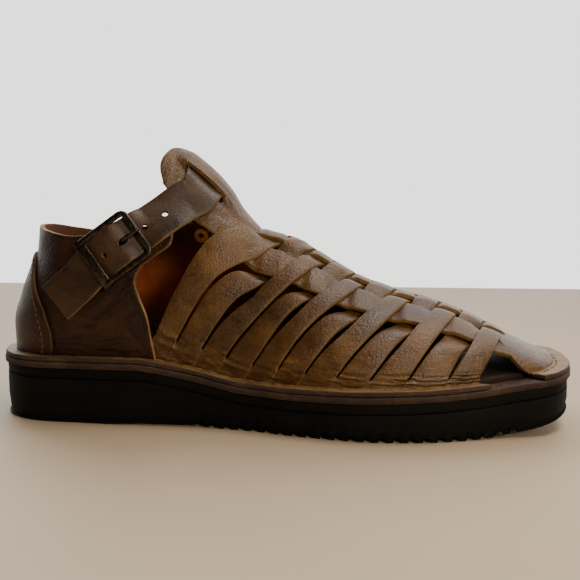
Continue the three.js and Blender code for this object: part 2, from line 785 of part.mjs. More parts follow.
const strapRows = (() => {
  const wall = (side, x, z) => (height) => new THREE.Vector3(...onQuarter(quarterAt(x, side, z), z, height));
  const top = (x, distance) => (height) => new THREE.Vector3(...onLast(x, walk(x, distance), height));
  const buckle = (d) => (height) => atBuckle(d, 0, height);
  const free = (x, y, z) => (height) => new THREE.Vector3(x, y - 0.9 * height, z + 0.4 * height);
  return [
    strapRow(wall(-1, -110.5, 62), 2.1, 52),
    strapRow(wall(-1, -105, 67), 2.1, 52),
    strapRow(wall(-1, -97.5, 73), 2.7, 52.6),
    strapRow(buckle(15.5), 3, 52.6),
    strapRow(buckle(10.5), 3.1, 52.6),
    strapRow(buckle(4), 6.7, 52.6),
    strapRow(buckle(0), 7, 52.6),
    strapRow(buckle(-4), 6.7, 52.6),
    strapRow(buckle(-10), 3.1, 52.6),
    strapRow(buckle(-15.5), 3, 52.6),
    strapRow(free(-62, -31.5, 102.4), 0, 52.6),
    strapRow(free(-54, -26.5, 108.4), 0, 52),
    strapRow(top(-46.5, -31), 1.6, 51),
    strapRow(top(-41.5, -24), strapLift + 0.2, 49),
    strapRow(top(-39.3, -17.5), strapLift, 47),
    strapRow(top(-38.6, -13), -0.5, 46),
    strapRow(top(-38.1, -9), -strapDip, 45),
    strapRow(top(-37.8, -4), -strapDip, 44),
    strapRow(top(-37.7, 0), -strapDip, 44),
    strapRow(top(-37.8, 4), -strapDip, 43),
    strapRow(top(-38.1, 9), -strapDip, 41),
    strapRow(top(-38.6, 13), -0.5, 39),
    strapRow(top(-39.5, 17.5), strapLift, 36),
    strapRow(top(-41.5, 25), strapLift + 0.4, 31),
    strapRow(wall(1, -45.5, 101), 2.1, 26),
    strapRow(wall(1, rivetAt.x, rivetAt.z), strapThick / 2 + innerSeat, 24),
    strapRow(wall(1, -52.5, 84), strapThick / 2 + innerSeat + 0.2, 24),
  ];
})();

// A flat band swept along the strap's rows
function band(half, thickness) {
  const curve = new THREE.CatmullRomCurve3(strapRows.map((row) => row.point), false, "centripetal");
  const place = (u, v, face) => {
    const row = Math.min(Math.floor(v * (strapRows.length - 1) + 1e-6), strapRows.length - 2);
    const part = v * (strapRows.length - 1) - row;
    const along = curve.getTangent(v);
    const across = strapRows[row].across.clone().lerp(strapRows[row + 1].across, part);
    across.addScaledVector(along, -across.dot(along)).normalize();
    const out = new THREE.Vector3().crossVectors(across, along);
    const point = curve.getPoint(v).addScaledVector(across, (2 * u - 1) * half);
    return point.addScaledVector(out, (face * thickness) / 2).toArray();
  };
  return sheet(1, 3 * (strapRows.length - 1), (u, v) => place(u, v, 1), (u, v) => place(u, v, -1));
}

// A peg along the quarter's outward direction at the rivet
const rivetAxis = (() => {
  const q = quarterAt(rivetAt.x, 1, rivetAt.z);
  const centre = new THREE.Vector3(...onQuarter(q, rivetAt.z, 0));
  const out = new THREE.Vector3(...onQuarter(q, rivetAt.z, 1)).sub(centre);
  return { centre, out };
})();

function peg(from, to, radius, around) {
  const { centre, out } = rivetAxis;
  return rod([from, to].map((o) => centre.clone().addScaledVector(out, o)), radius, around);
}

function ankleStrap() {
  const strap = band(strapWidth / 2, strapThick);
  const prongHole = [
    [-4, 0],
    [-5.2, 0],
    [-6.4, 0],
  ].map(([d, w]) => rod([atBuckle(d, w, 2), atBuckle(d, w, 9.5)], 1.6, 8));
  let pierced = strap;
  for (const hole of prongHole) pierced = pierced.subtract(hole);
  return pierced.subtract(peg(-4, 6, 2.3, 12));
}

// An eyelet that clamps the strap to the inner quarter
function rivet() {
  const inside = -leather - gap;
  const outside = innerSeat + strapThick + gap + 0.3;
  const barrel = peg(inside - 0.4, outside + 0.4, 2, 12);
  const heads = peg(inside - 0.9, inside, 4, 16).add(peg(outside, outside + 0.9, 4, 16));
  return barrel.add(heads).subtract(peg(-9, 9, 1.2, 10));
}

function upper() {
  const side = outlineAt(slitTable[slitTable.length - 1].feather, -1, flangeWidth);
  const toeStart = outlineAt(127, -1, flangeWidth);
  let body = flange(-side, side, 44);
  const toeFlange = flange(toeStart, 1 - toeStart, 14);
  const pieces = [toeFlange, quarter(), tongue(), toePiece(), keeper(-1), keeper(1)];
  for (let i = 0; i + 1 < slitTable.length; i += 1) pieces.push(crossStrip(i));
  pieces.push(featherBand(-1), featherBand(1));
  pieces.push(longStrap((x) => -sideStrapDistance(x), -1));
  pieces.push(longStrap(() => 0, 1));
  pieces.push(longStrap((x) => sideStrapDistance(x), -1));
  for (const piece of pieces) body = body.add(piece);
  const strapRoom = band(strapWidth / 2 + gap, strapThick + 2 * gap);
  const openings = [slotCutter(-1), slotCutter(1), strapRoom, peg(-5, 2, 2.3, 12)];
  const cleared = openings.reduce((rest, opening) => rest.subtract(opening), body);
  // The outer skin alone: pinholes shut in between crossing straps are filled
  const [skin] = cleared.decompose().sort((one, other) => other.volume() - one.volume());
  return skin;
}

// A finished piece for the scene
const sandal = new THREE.Group();

function place(name, solid, color, roughness, metalness) {
  const mesh = solid.getMesh();
  const geometry = new THREE.BufferGeometry();
  geometry.setAttribute("position", new THREE.BufferAttribute(Float32Array.from(mesh.vertProperties), 3));
  geometry.setIndex(new THREE.BufferAttribute(Uint32Array.from(mesh.triVerts), 1));
  geometry.computeVertexNormals();
  const piece = new THREE.Mesh(geometry, new THREE.MeshStandardMaterial({ color, roughness, metalness }));
  piece.name = name;
  sandal.add(piece);
}

place("outsole", outsole(), 0x1b1b1c, 0.85, 0);
place("midsole", midsole(), 0x1f1f20, 0.85, 0);
place("leather_midsole", leatherMidsole(), 0x5a4331, 0.8, 0);
place("insole", insole(), 0x5a3524, 0.7, 0);
place("upper", upper(), 0x5b3d27, 0.55, 0);
place("heel_counter", heelCounter(), 0x5b3d27, 0.55, 0);
place("ankle_strap", ankleStrap(), 0x4a2a1e, 0.5, 0);
place("buckle_frame", buckleFrameSolid(), 0x3a3026, 0.35, 1);
place("buckle_prong", buckleProng(), 0x3a3026, 0.35, 1);
place("rivet", rivet(), 0x8a6238, 0.35, 1);

sandal.position.y = axisShift;

export default sandal;
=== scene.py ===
# Right huarache sandal: woven vamp, slotted tongue, buckled ankle strap, wedge sole.
# Tables are in millimetres, +X to the toe, +Y to the inner side, and become metres in the meshes.
import math

import bmesh
import bpy
import numpy as np
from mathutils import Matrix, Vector


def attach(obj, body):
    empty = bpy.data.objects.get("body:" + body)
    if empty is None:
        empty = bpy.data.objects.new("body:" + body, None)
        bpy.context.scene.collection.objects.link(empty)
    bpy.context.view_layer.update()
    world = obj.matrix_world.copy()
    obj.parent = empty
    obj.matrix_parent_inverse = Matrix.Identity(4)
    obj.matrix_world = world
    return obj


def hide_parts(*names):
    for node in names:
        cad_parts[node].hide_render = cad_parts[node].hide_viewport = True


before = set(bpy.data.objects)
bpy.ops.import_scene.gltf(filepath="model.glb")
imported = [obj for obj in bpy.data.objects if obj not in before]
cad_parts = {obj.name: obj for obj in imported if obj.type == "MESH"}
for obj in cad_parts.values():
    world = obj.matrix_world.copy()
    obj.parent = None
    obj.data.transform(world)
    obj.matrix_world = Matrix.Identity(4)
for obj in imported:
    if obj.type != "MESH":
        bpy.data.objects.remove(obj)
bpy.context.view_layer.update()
print("frame loaded")

camera = {"place": (0.05205, -0.44452, 0.11799), "pitch": 83.43, "yaw": 6.0, "lens": 52.26}
cameraData = bpy.data.cameras.new("camera")
cameraData.lens = camera["lens"]
cameraData.sensor_width = 36
cameraData.clip_start = 0.01
cameraObject = bpy.data.objects.new("camera", cameraData)
cameraObject.location = camera["place"]
cameraObject.rotation_euler = (math.radians(camera["pitch"]), 0, math.radians(camera["yaw"]))
bpy.context.scene.collection.objects.link(cameraObject)
bpy.context.scene.camera = cameraObject

lights = [
    {"name": "overhead", "place": (0.34, -0.06, 0.85), "aim": (0.03, 0.0, 0.04), "size": (0.5, 0.35),
     "watts": 5.6, "tint": (1.0, 0.91, 0.8)},
    {"name": "front", "place": (0.75, -1.1, 0.55), "aim": (0.03, 0.0, 0.05), "size": (0.32, 0.32),
     "watts": 11, "tint": (1.0, 0.86, 0.67)},
    {"name": "back", "place": (-0.55, 0.8, 0.9), "aim": (0.0, 0.0, 0.08), "size": (0.7, 0.5),
     "watts": 6, "tint": (0.93, 0.96, 1.0)},
]
for light in lights:
    data = bpy.data.lights.new(light["name"], "AREA")
    data.shape = "RECTANGLE"
    data.size, data.size_y = light["size"]
    data.energy = light["watts"]
    data.color = light["tint"]
    lamp = bpy.data.objects.new(light["name"], data)
    lamp.location = light["place"]
    aim = Vector(light["aim"]) - Vector(light["place"])
    lamp.rotation_euler = aim.to_track_quat("-Z", "Y").to_euler()
    bpy.context.scene.collection.objects.link(lamp)


wallLight = {"From Min": -0.1, "From Max": 0.75, "To Min": 0.06, "To Max": 2.5}
wallColour = (0.87, 0.86, 0.84, 1)


def studioWorld():
    # A pale wall behind the shoe, a dimmer room in front of it
    studio = bpy.data.worlds.new("studio")
    studio.use_nodes = True
    nodes, link = studio.node_tree.nodes, studio.node_tree.links.new
    place, split, fade = (nodes.new(kind) for kind in ("ShaderNodeTexCoord", "ShaderNodeSeparateXYZ",
                                                       "ShaderNodeMapRange"))
    for key, value in wallLight.items():
        fade.inputs[key].default_value = value
    fade.interpolation_type = "SMOOTHSTEP"
    link(place.outputs["Generated"], split.inputs["Vector"])
    link(split.outputs["Y"], fade.inputs["Value"])
    background = nodes["Background"]
    link(fade.outputs["Result"], background.inputs["Strength"])
    background.inputs["Color"].default_value = wallColour
    return studio


bpy.context.scene.world = studioWorld()


class Wire:  # a socket that adds Math nodes when it is used in an expression
    def __init__(self, look, socket):
        self.look = look
        self.socket = socket

    def maths(self, operation, first, second):
        return self.look.node("ShaderNodeMath", {"operation": operation}, {0: first, 1: second})

    def __add__(self, other):
        return self.maths("ADD", self, other)

    def __radd__(self, other):
        return self.maths("ADD", other, self)

    def __sub__(self, other):
        return self.maths("SUBTRACT", self, other)

    def __rsub__(self, other):
        return self.maths("SUBTRACT", other, self)

    def __mul__(self, other):
        return self.maths("MULTIPLY", self, other)

    def __rmul__(self, other):
        return self.maths("MULTIPLY", other, self)


class Look:  # one material and its nodes
    def __init__(self, name):
        self.material = bpy.data.materials.new(name)
        self.material.use_nodes = True
        self.tree = self.material.node_tree
        self.shader = self.tree.nodes["Principled BSDF"]
        self.place = self.node("ShaderNodeTexCoord", {}, {}, "Object")

    def node(self, kind, settings, values, output=0):
        made = self.tree.nodes.new(kind)
        for key, value in settings.items():
            if key == "stops":
                ramp = made.color_ramp
                while len(ramp.elements) < len(value):
                    ramp.elements.new(1)
                for stop, (at, colour) in zip(ramp.elements, value):
                    stop.position = at
                    stop.color = (*colour, 1)
            else:
                setattr(made, key, value)
        for key, value in values.items():
            if isinstance(value, Wire):
                self.tree.links.new(value.socket, made.inputs[key])
            else:
                made.inputs[key].default_value = value
        return Wire(self, made.outputs[output])

    def noise(self, scale, detail=3, rough=0.55, place=None):
        values = {"Vector": place or self.place, "Scale": scale, "Detail": detail, "Roughness": rough}
        return self.node("ShaderNodeTexNoise", {}, values)

    def cells(self, scale, place=None, feature="F1"):
        values = {"Vector": place or self.place, "Scale": scale}
        return self.node("ShaderNodeTexVoronoi", {"feature": feature}, values, "Distance")

    def stretch(self, scale, turn=(0, 0, 0)):
        return self.node("ShaderNodeMapping", {}, {"Vector": self.place, "Scale": scale, "Rotation": turn})

    def height(self):
        return self.node("ShaderNodeSeparateXYZ", {}, {"Vector": self.place}, "Z")

    def ramp(self, factor, stops):
        return self.node("ShaderNodeValToRGB", {"stops": stops}, {"Fac": factor}, "Color")

    def band(self, value, low, high, start=0.0, end=1.0):
        return self.node("ShaderNodeMapRange", {"interpolation_type": "SMOOTHSTEP"},
                         {"Value": value, "From Min": low, "From Max": high, "To Min": start, "To Max": end})

    def blend(self, factor, first, second, kind="MIX"):
        settings = {"data_type": "RGBA", "blend_type": kind}
        values = {0: factor, 6: (*first, 1) if isinstance(first, tuple) else first,
                  7: (*second, 1) if isinstance(second, tuple) else second}
        return self.node("ShaderNodeMix", settings, values, 2)

    def set(self, **values):
        for key, value in values.items():
            socket = self.shader.inputs[key.replace("_", " ")]
            if isinstance(value, Wire):
                self.tree.links.new(value.socket, socket)
            else:
                socket.default_value = value

    def bump(self, height, strength, distance):
        values = {"Height": height, "Strength": strength, "Distance": distance}
        self.set(Normal=self.node("ShaderNodeBump", {}, values, "Normal"))


def grainLeather(name, dark, body, light, pebble=1.0, gloss=0.4, sheen=1.48):
    # Waxed pull-up leather: cloudy colour, pebbled grain, fine wrinkles, with painted shade in the grain's
    # valleys and the wrinkles' troughs
    look = Look(name)
    cloud = look.noise(22, 4, 0.6)
    patch = look.noise(95, 3, 0.6)
    warp = look.noise(420, 2)
    spot = look.node("ShaderNodeVectorMath", {"operation": "ADD"}, {0: look.place, 1: warp * 0.0016})
    grain = look.cells(900, spot)
    coarse = look.cells(430, spot, "SMOOTH_F1")
    pores = look.noise(2600, 2)
    wrinkle = look.noise(160, 5, 0.65, look.stretch((0.6, 1.0, 2.2), (0, 0.5, 0)))
    tone = look.ramp(cloud * 0.62 + patch * 0.42, [(0.3, dark), (0.5, body), (0.72, light)])
    # Painted shade: the colour darkens in the valleys between the pebbles
    grainShade = look.band(grain, 0.3, 0.8, 0.0, 0.22 * pebble)
    tone = look.blend(grainShade, tone, tuple(c * 0.55 for c in dark))
    # Painted shade: the colour darkens in the troughs of the fine wrinkles
    creased = look.band(wrinkle, 0.36, 0.46, 0.35, 0.0)
    tone = look.blend(creased, tone, tuple(c * 0.6 for c in dark))
    look.set(Base_Color=tone, Roughness=look.band(patch + pores * 0.3, 0.3, 0.95, gloss - 0.07, gloss + 0.14))
    look.set(IOR=sheen)
    low = look.band(look.height(), 0.034, 0.05, 1.0, 0.0)
    folds = look.noise(330, 4, 0.6, look.stretch((0.45, 0.6, 1.9)))
    height = (1 - grain) * 0.5 * pebble + (1 - coarse) * 0.2 * pebble + wrinkle * 0.45 + pores * 0.12
    look.bump(height + folds * low * 1.6, 0.6, 0.0006)
    return look.material


def cutLeather(name, dark, light):
    # The cut edge: pale fibres with darker dye from the grain side
    look = Look(name)
    fibre = look.noise(1500, 4, 0.7)
    cloud = look.noise(140, 3)
    tone = look.ramp(fibre * 0.55 + cloud * 0.5, [(0.32, dark), (0.68, light)])
    look.set(Base_Color=tone, Roughness=0.82)
    look.bump(fibre, 0.5, 0.0003)
    return look.material


def suede(name, dark, light):
    look = Look(name)
    nap = look.noise(1900, 4, 0.75)
    cloud = look.noise(45, 4, 0.6)
    tone = look.ramp(nap * 0.35 + cloud * 0.7, [(0.36, dark), (0.7, light)])
    # Painted shade: towards the collar top the suede turns darker and more olive, and the darkening stands in
    # for shade
    wornAndShaded = look.band(look.height(), 0.07, 0.096, 0.0, 0.85)
    tone = look.blend(wornAndShaded, tone, (dark[0] * 0.4, dark[1] * 0.75, dark[2] * 0.8))
    # Painted shade: low down inside the shoe the suede, footbed included, darkens almost to black
    tone = look.blend(look.band(look.height(), 0.042, 0.066, 0.8, 0.0), tone, tuple(c * 0.12 for c in dark))
    look.set(Base_Color=tone, Roughness=0.92)
    look.bump(nap, 0.5, 0.0003)
    return look.material


def soleRubber(name, base, dust, speckle):
    look = Look(name)
    fine = look.noise(2400, 3, 0.7)
    cloud = look.noise(30, 4, 0.65)
    streak = look.noise(60, 3, 0.6, look.stretch((0.25, 1, 3)))
    dusty = look.band(cloud * 0.6 + streak * 0.5, 0.45, 0.75, 0.0, 0.5)
    tone = look.blend(dusty, base, dust)
    spots = look.band(look.noise(3600, 1), 0.68, 0.76)
    tone = look.blend(spots * speckle, tone, (0.16, 0.15, 0.14))
    look.set(Base_Color=tone, Roughness=look.band(fine, 0.3, 0.7, 0.6, 0.85), IOR=1.25)
    look.bump(fine * 0.7 + streak * 0.5, 0.4, 0.0003)
    return look.material


def boardEdge(name):
    # Leather board cut round the sole: rough fibres lying along the edge
    look = Look(name)
    fibre = look.noise(900, 5, 0.75, look.stretch((0.35, 0.35, 2.4)))
    cloud = look.noise(70, 4)
    tone = look.ramp(fibre * 0.65 + cloud * 0.4, [(0.35, (0.012, 0.005, 0.002)), (0.55, (0.04, 0.019, 0.009)),
                                                 (0.75, (0.12, 0.07, 0.035))])
    look.set(Base_Color=tone, Roughness=0.8)
    look.bump(fibre, 0.8, 0.0006)
    return look.material


def agedMetal(name, dark, bright, rough, metal=1.0):
    look = Look(name)
    cloud = look.noise(260, 4, 0.7)
    scratch = look.noise(1400, 3, 0.7, look.stretch((1, 1, 0.2)))
    tone = look.ramp(cloud * 0.6 + scratch * 0.4, [(0.35, dark), (0.68, bright)])
    wornAndShaded = look.band(scratch, 0.3, 0.7, rough - 0.08, rough + 0.14)
    look.set(Base_Color=tone, Metallic=metal, Roughness=wornAndShaded)
    look.bump(scratch, 0.2, 0.0001)
    return look.material


def threadLook(name, colour):
    look = Look(name)
    twist = look.noise(2200, 2)
    look.set(Base_Color=look.blend(twist, tuple(c * 0.5 for c in colour), colour), Roughness=0.75)
    look.bump(twist, 0.5, 0.0002)
    return look.material


def floorLook(name):
    look = Look(name)
    cloud = look.noise(4, 3)
    look.set(Base_Color=look.blend(cloud, (0.385, 0.285, 0.185), (0.485, 0.375, 0.258)), Roughness=0.6)
    return look.material


looks = {
    "vamp": grainLeather("vamp leather", (0.02, 0.0062, 0.0008), (0.082, 0.034, 0.0042),
                         (0.17, 0.083, 0.016)),
    # The quarter leather is a darker, redder copy of the vamp leather, and its darkness is painted shade for
    # the heel's sides turned from the light
    "quarter": grainLeather("quarter leather", (0.005, 0.0011, 0.0002), (0.021, 0.0048, 0.0003),
                            (0.06, 0.016, 0.0012), 1.3, 0.4, 1.4),
    "strap": grainLeather("strap leather", (0.012, 0.0042, 0.0012), (0.036, 0.014, 0.0045),
                          (0.07, 0.032, 0.013), 0.35, 0.42),
    "flange": grainLeather("flange leather", (0.045, 0.02, 0.003), (0.125, 0.062, 0.012),
                           (0.22, 0.12, 0.035), 0.3, 0.5),
    "edge": cutLeather("cut leather edge", (0.06, 0.026, 0.004), (0.3, 0.175, 0.045)),
    "seam": cutLeather("dyed leather edge", (0.02, 0.007, 0.001), (0.09, 0.04, 0.008)),
    # The inner suede's colours are raised as painted light on the shoe's shaded inside
    "suede": suede("inner suede", (0.1, 0.02, 0.004), (0.42, 0.098, 0.024)),
    "footbed": suede("footbed leather", (0.04, 0.01, 0.003), (0.12, 0.036, 0.013)),
    "rubber": soleRubber("wedge rubber", (0.0012, 0.0012, 0.0013), (0.0058, 0.0055, 0.0056), 0.08),
    "board": boardEdge("leather board"),
    "bronze": agedMetal("antique bronze", (0.02, 0.015, 0.012), (0.13, 0.1, 0.075), 0.3),
    "brass": agedMetal("worn brass", (1.0, 0.36, 0.05), (1.0, 0.6, 0.16), 0.34, 0.5),
    "thread": threadLook("waxed thread", (0.2, 0.1, 0.03)),
    "floor": floorLook("studio floor"),
}
print("materials made")

sole = {"length": 300.0, "heelRound": 36.0, "toeRound": 28.0, "sheet": 5.0, "springStart": 90.0,
        "springRate": 0.0026, "arch": 1.4, "board": 3.2, "overhang": 1.2, "gap": 0.3}
leather = {"wall": 2.6, "flangeWidth": 6.8, "strapWidth": 21.5, "strapThick": 2.3, "insole": 2.4}
heelEnd = -sole["length"] / 2
toeEnd = sole["length"] / 2
# The tables are measured from the sole's axis, and the origin is under the middle of the whole box
axisShift = 1.96


def rows(names, *lines):
    return [dict(zip(names.split(), line)) for line in lines]


soleTable = rows("x outer inner", (-150, 34, 34), (-110, 35.5, 35.5), (-80, 37.5, 36), (-45, 38, 34.5),
                 (-15, 41.5, 36.5), (15, 50, 43), (50, 56, 50), (75, 54, 52), (100, 46.5, 51),
                 (125, 38.5, 47.5), (150, 37, 47))
deckTable = rows("x deck", (-150, 28), (-72, 28.2), (-45, 24.4), (-12, 18.3), (10, 17.7), (60, 18.8),
                 (100, 20.6), (125, 23.4), (150, 26.4))
lastTable = rows("x ridge shift full", (-66, 150, 0, 0.02), (-52, 140, 0, 0.02), (-36, 127, 0, 0.02),
                 (-20, 108, 1, -0.01), (-9, 97, 2, -0.03), (6, 92.5, 3, -0.06), (17, 86.5, 4, -0.06),
                 (40, 72.8, 5, -0.05), (60, 65.2, 5, -0.03), (85, 58.2, 5, 0), (108, 48.2, 5, 0.04),
                 (123, 41, 5, 0.06), (135, 35.6, 5, 0.05), (150, 32, 5, 0))
slitTable = rows("feather ridge open", (-67, -12, 0), (-55.5, 5, 0.1), (-42, 17.5, 1.3), (-29.3, 27.5, 0.1),
                 (-15.2, 39, 1.3), (-1.3, 48, 0.1), (12.7, 61, 1.0), (28.8, 72, 0.1), (45.6, 84.5, 0.7),
                 (64, 95.5, 0.1), (84, 107.5, 0.5), (100, 118, 0))
quarterTable = rows("z reach width", (28, 0.965, 0.98), (37, 0.972, 1.02), (49, 0.972, 1.08),
                    (64.5, 0.918, 1.1), (85, 0.832, 1.03), (103, 0.81, 0.96))
quarterFrontTable = rows("z outer inner", (28, -60, -58), (41, -62, -57), (53, -64, -56), (63, -68.5, -55),
                         (71, -71.5, -53), (77, -69, -49), (84, -59, -41), (90, -50.5, -35), (95, -49.5, -34),
                         (99, -54, -40))
collarTable = rows("x z", (-150, 101.5), (-131, 101.5), (-119, 98.5), (-103, 96), (-90, 97), (-70, 101),
                   (-50, 101), (-30, 98))


def column(table, key, along="x"):
    # Smooth curve, never overshooting, through one column of a table
    xs = np.array([row[along] for row in table], float)
    ys = np.array([row[key] for row in table], float)
    slopes = np.diff(ys) / np.diff(xs)
    tangents = np.concatenate(([slopes[0]], np.zeros(len(xs) - 2), [slopes[-1]]))
    product = slopes[:-1] * slopes[1:]
    total = np.where(product > 0, slopes[:-1] + slopes[1:], 1)
    tangents[1:-1] = np.where(product > 0, 2 * product / total, 0)

    def read(x):
        x = np.clip(x, xs[0], xs[-1])
        i = np.clip(np.searchsorted(xs, x, side="right") - 1, 0, len(xs) - 2)
        span = xs[i + 1] - xs[i]
        t = (x - xs[i]) / span
        rise = ys[i + 1] - ys[i]
        bend = tangents[i] * (1 - t) - tangents[i + 1] * t
        return ys[i] + rise * t * t * (3 - 2 * t) + span * t * (1 - t) * bend

    return read


outerHalf, innerHalf = column(soleTable, "outer"), column(soleTable, "inner")
deckHeight = column(deckTable, "deck")
ridgeHeight, ridgeShift, fullness = (column(lastTable, key) for key in ("ridge", "shift", "full"))
quarterReach, quarterWidth = column(quarterTable, "reach", "z"), column(quarterTable, "width", "z")
quarterOuterFront = column(quarterFrontTable, "outer", "z")
quarterInnerFront = column(quarterFrontTable, "inner", "z")
collarHeight = column(collarTable, "z")


def smooth(value):
    t = np.clip(value, 0, 1)
    return t * t * (3 - 2 * t)


def stack(*parts):
    return np.stack(np.broadcast_arrays(*parts), axis=-1)


def endFactor(d, power):
    return (1 - (1 - np.clip(d, 0, 1)) ** power) ** (1 / power)


def edgeY(x, side, inset):
    outer, inner = outerHalf(x), innerHalf(x)
    half = (outer + inner) / 2 - inset
    heel = endFactor((x - heelEnd - inset) / sole["heelRound"], 2.2)
    toe = endFactor((toeEnd - inset - x) / sole["toeRound"], 2.5)
    return (inner - outer) / 2 + side * half * heel * toe


def outlinePoint(q, inset):
    q = np.mod(q, 1)
    x = heelEnd + inset + (1 - np.cos(2 * np.pi * q)) / 2 * (sole["length"] - 2 * inset)
    return x, edgeY(x, np.where(q < 0.5, -1, 1), inset)


def outlineAt(x, side, inset):
    along = np.clip((x - heelEnd - inset) / (sole["length"] - 2 * inset), 0, 1)
    q = np.arccos(1 - 2 * along) / (2 * np.pi)
    return q if side < 0 else 1 - q


def weltTop(x):
    return deckHeight(x) + sole["gap"] + sole["board"]


def seatHeight(x):
    return weltTop(x) + sole["gap"]


def tread(x):
    spring = np.where(x > sole["springStart"], sole["springRate"] * (x - sole["springStart"]) ** 2, 0)
    return spring + sole["arch"] * smooth((x + 88) / 24) * smooth((-22 - x) / 20)


def offsetter(surface, stepA, stepB):
    # The surface moved out along its normal
    def moved(a, b, offset):
        a, b, offset = np.broadcast_arrays(*(np.asarray(value, float) for value in (a, b, offset)))
        alongA = surface(a + stepA, b) - surface(a - stepA, b)
        alongB = surface(a, b + stepB) - surface(a, b - stepB)
        normal = np.cross(alongA, alongB)
        normal /= np.linalg.norm(normal, axis=-1, keepdims=True)
        return surface(a, b) + normal * offset[..., None]

    return moved


def lastPoint(x, t):
    # The last: t is 0 at the outer feather, 1 on the ridge, 2 at the inner feather
    side = np.where(t <= 1, -1, 1)
    turn = np.where(t <= 1, t, 2 - t) * np.pi / 2
    swell = 1 + fullness(x) * np.sin(2 * turn) ** 2
    floorZ = seatHeight(x) + leather["wall"] / 2
    top = np.maximum(ridgeHeight(x), floorZ + 1)
    foot = edgeY(x, side, leather["flangeWidth"] + leather["wall"] / 2) - ridgeShift(x)
    y = ridgeShift(x) + foot * np.cos(turn) * swell
    return stack(x, y, floorZ + (top - floorZ) * np.sin(turn) * swell)


onLast = offsetter(lastPoint, 0.2, 0.004)


def walk(x, distance):
    # The t at a distance over the section from the ridge, outer side negative
    x, distance = np.broadcast_arrays(np.asarray(x, float), np.asarray(distance, float))
    steps = np.linspace(0, 1, 81)
    found = np.empty(x.size)
    for k, (one, reach) in enumerate(zip(x.ravel(), distance.ravel())):
        ts = 1 + np.sign(reach) * steps
        line = lastPoint(np.full(81, one), ts)
        arc = np.concatenate(([0], np.cumsum(np.linalg.norm(np.diff(line, axis=0), axis=1))))
        found[k] = np.interp(abs(reach), arc, ts)
    return found.reshape(x.shape)


quarterPivot = -60


def quarterPoint(q, z):
    x, y = outlinePoint(q, leather["flangeWidth"])
    forward = smooth((x + 105) / 55) * smooth((z - 60) / 45)
    width = quarterWidth(z) - 0.12 * forward
    return stack(quarterPivot + (x - quarterPivot) * quarterReach(z), y * width, z)


fromWall = offsetter(quarterPoint, 0.002, 0.2)


def onQuarter(q, z, offset):
    return fromWall(q, z, np.asarray(offset) + leather["wall"])


def quarterAt(x, side, z):
    return outlineAt(quarterPivot + (x - quarterPivot) / quarterReach(z), side, leather["flangeWidth"])


def meshOf(name, points, faces, materials, picks=None):
    # A closed mesh from points in millimetres
    mesh = bpy.data.meshes.new(name)
    mesh.from_pydata(((np.asarray(points, float) + [0, axisShift, 0]) / 1000).tolist(), [], faces)
    for material in materials:
        mesh.materials.append(material)
    if picks is not None:
        mesh.polygons.foreach_set("material_index", picks)
    work = bmesh.new()
    work.from_mesh(mesh)
    bmesh.ops.remove_doubles(work, verts=work.verts, dist=1e-7)
    bmesh.ops.recalc_face_normals(work, faces=work.faces)
    work.to_mesh(mesh)
    work.free()
    mesh.polygons.foreach_set("use_smooth", [True] * len(mesh.polygons))
    mesh.set_sharp_from_angle(angle=math.radians(38))
    piece = bpy.data.objects.new(name, mesh)
    bpy.context.scene.collection.objects.link(piece)
    return piece


def spread(count, size, roll=0.5):
    # Even steps from 0 to 1 with close ones where an edge rolls over
    near = np.array([0, 0.12, 0.4, 1.0]) * roll / size
    middle = np.linspace(near[-1], 1 - near[-1], max(count, 2))
    return np.concatenate((near[:-1], middle, (1 - near[:-1])[::-1]))


def rollOff(d, roll):
    # How far a rounded edge has dropped at a distance from it
    reach = np.clip(d / roll, 0, 1)
    return roll * (1 - np.sqrt(np.clip(1 - (1 - reach) ** 2, 0, 1)))


def shell(name, surface, us, vs, width, length, thick, materials, roll=0.5, relief=None, ends=(1, 1)):
    # A leather piece: surface(u, v, offset) is its middle, with rolled cut edges on all four sides
    U, V = np.meshgrid(us, vs)
    across = np.minimum(U, 1 - U) * width
    along = np.minimum(np.where(ends[0], V, 1), np.where(ends[1], 1 - V, 1)) * length
    drop = np.maximum(rollOff(across, roll), rollOff(along, roll))
    top = thick / 2 - drop + (0 if relief is None else relief(U, V))
    bottom = -thick / 2 + 0.6 * drop
    nv, nu = U.shape
    points = np.concatenate((surface(U, V, top).reshape(-1, 3), surface(U, V, bottom).reshape(-1, 3)))
    layer = nu * nv
    faces, picks = [], []
    for j in range(nv - 1):
        for i in range(nu - 1):
            a = j * nu + i
            rim = i < 2 or i > nu - 4 or (ends[0] and j < 2) or (ends[1] and j > nv - 4)
            faces.append((a, a + 1, a + nu + 1, a + nu))
            picks.append(1 if rim else 0)
            faces.append((layer + a, layer + a + nu, layer + a + nu + 1, layer + a + 1))
            picks.append(2)
    for i in range(nu - 1):
        for a in (i, (nv - 1) * nu + i):
            faces.append((a, layer + a, layer + a + 1, a + 1))
            picks.append(1)
    for j in range(nv - 1):
        for a in (j * nu, j * nu + nu - 1):
            faces.append((a, a + nu, layer + a + nu, layer + a))
            picks.append(1)
    return meshOf(name, points, faces, materials, picks)


def keep(piece, slot, *nodes):
    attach(piece, "root")
    if nodes:
        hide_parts(*nodes)
    return piece


leatherSet = [looks["vamp"], looks["edge"], looks["suede"]]
quarterSet = [looks["quarter"], looks["edge"], looks["suede"]]
strapSet = [looks["strap"], looks["edge"], looks["suede"]]


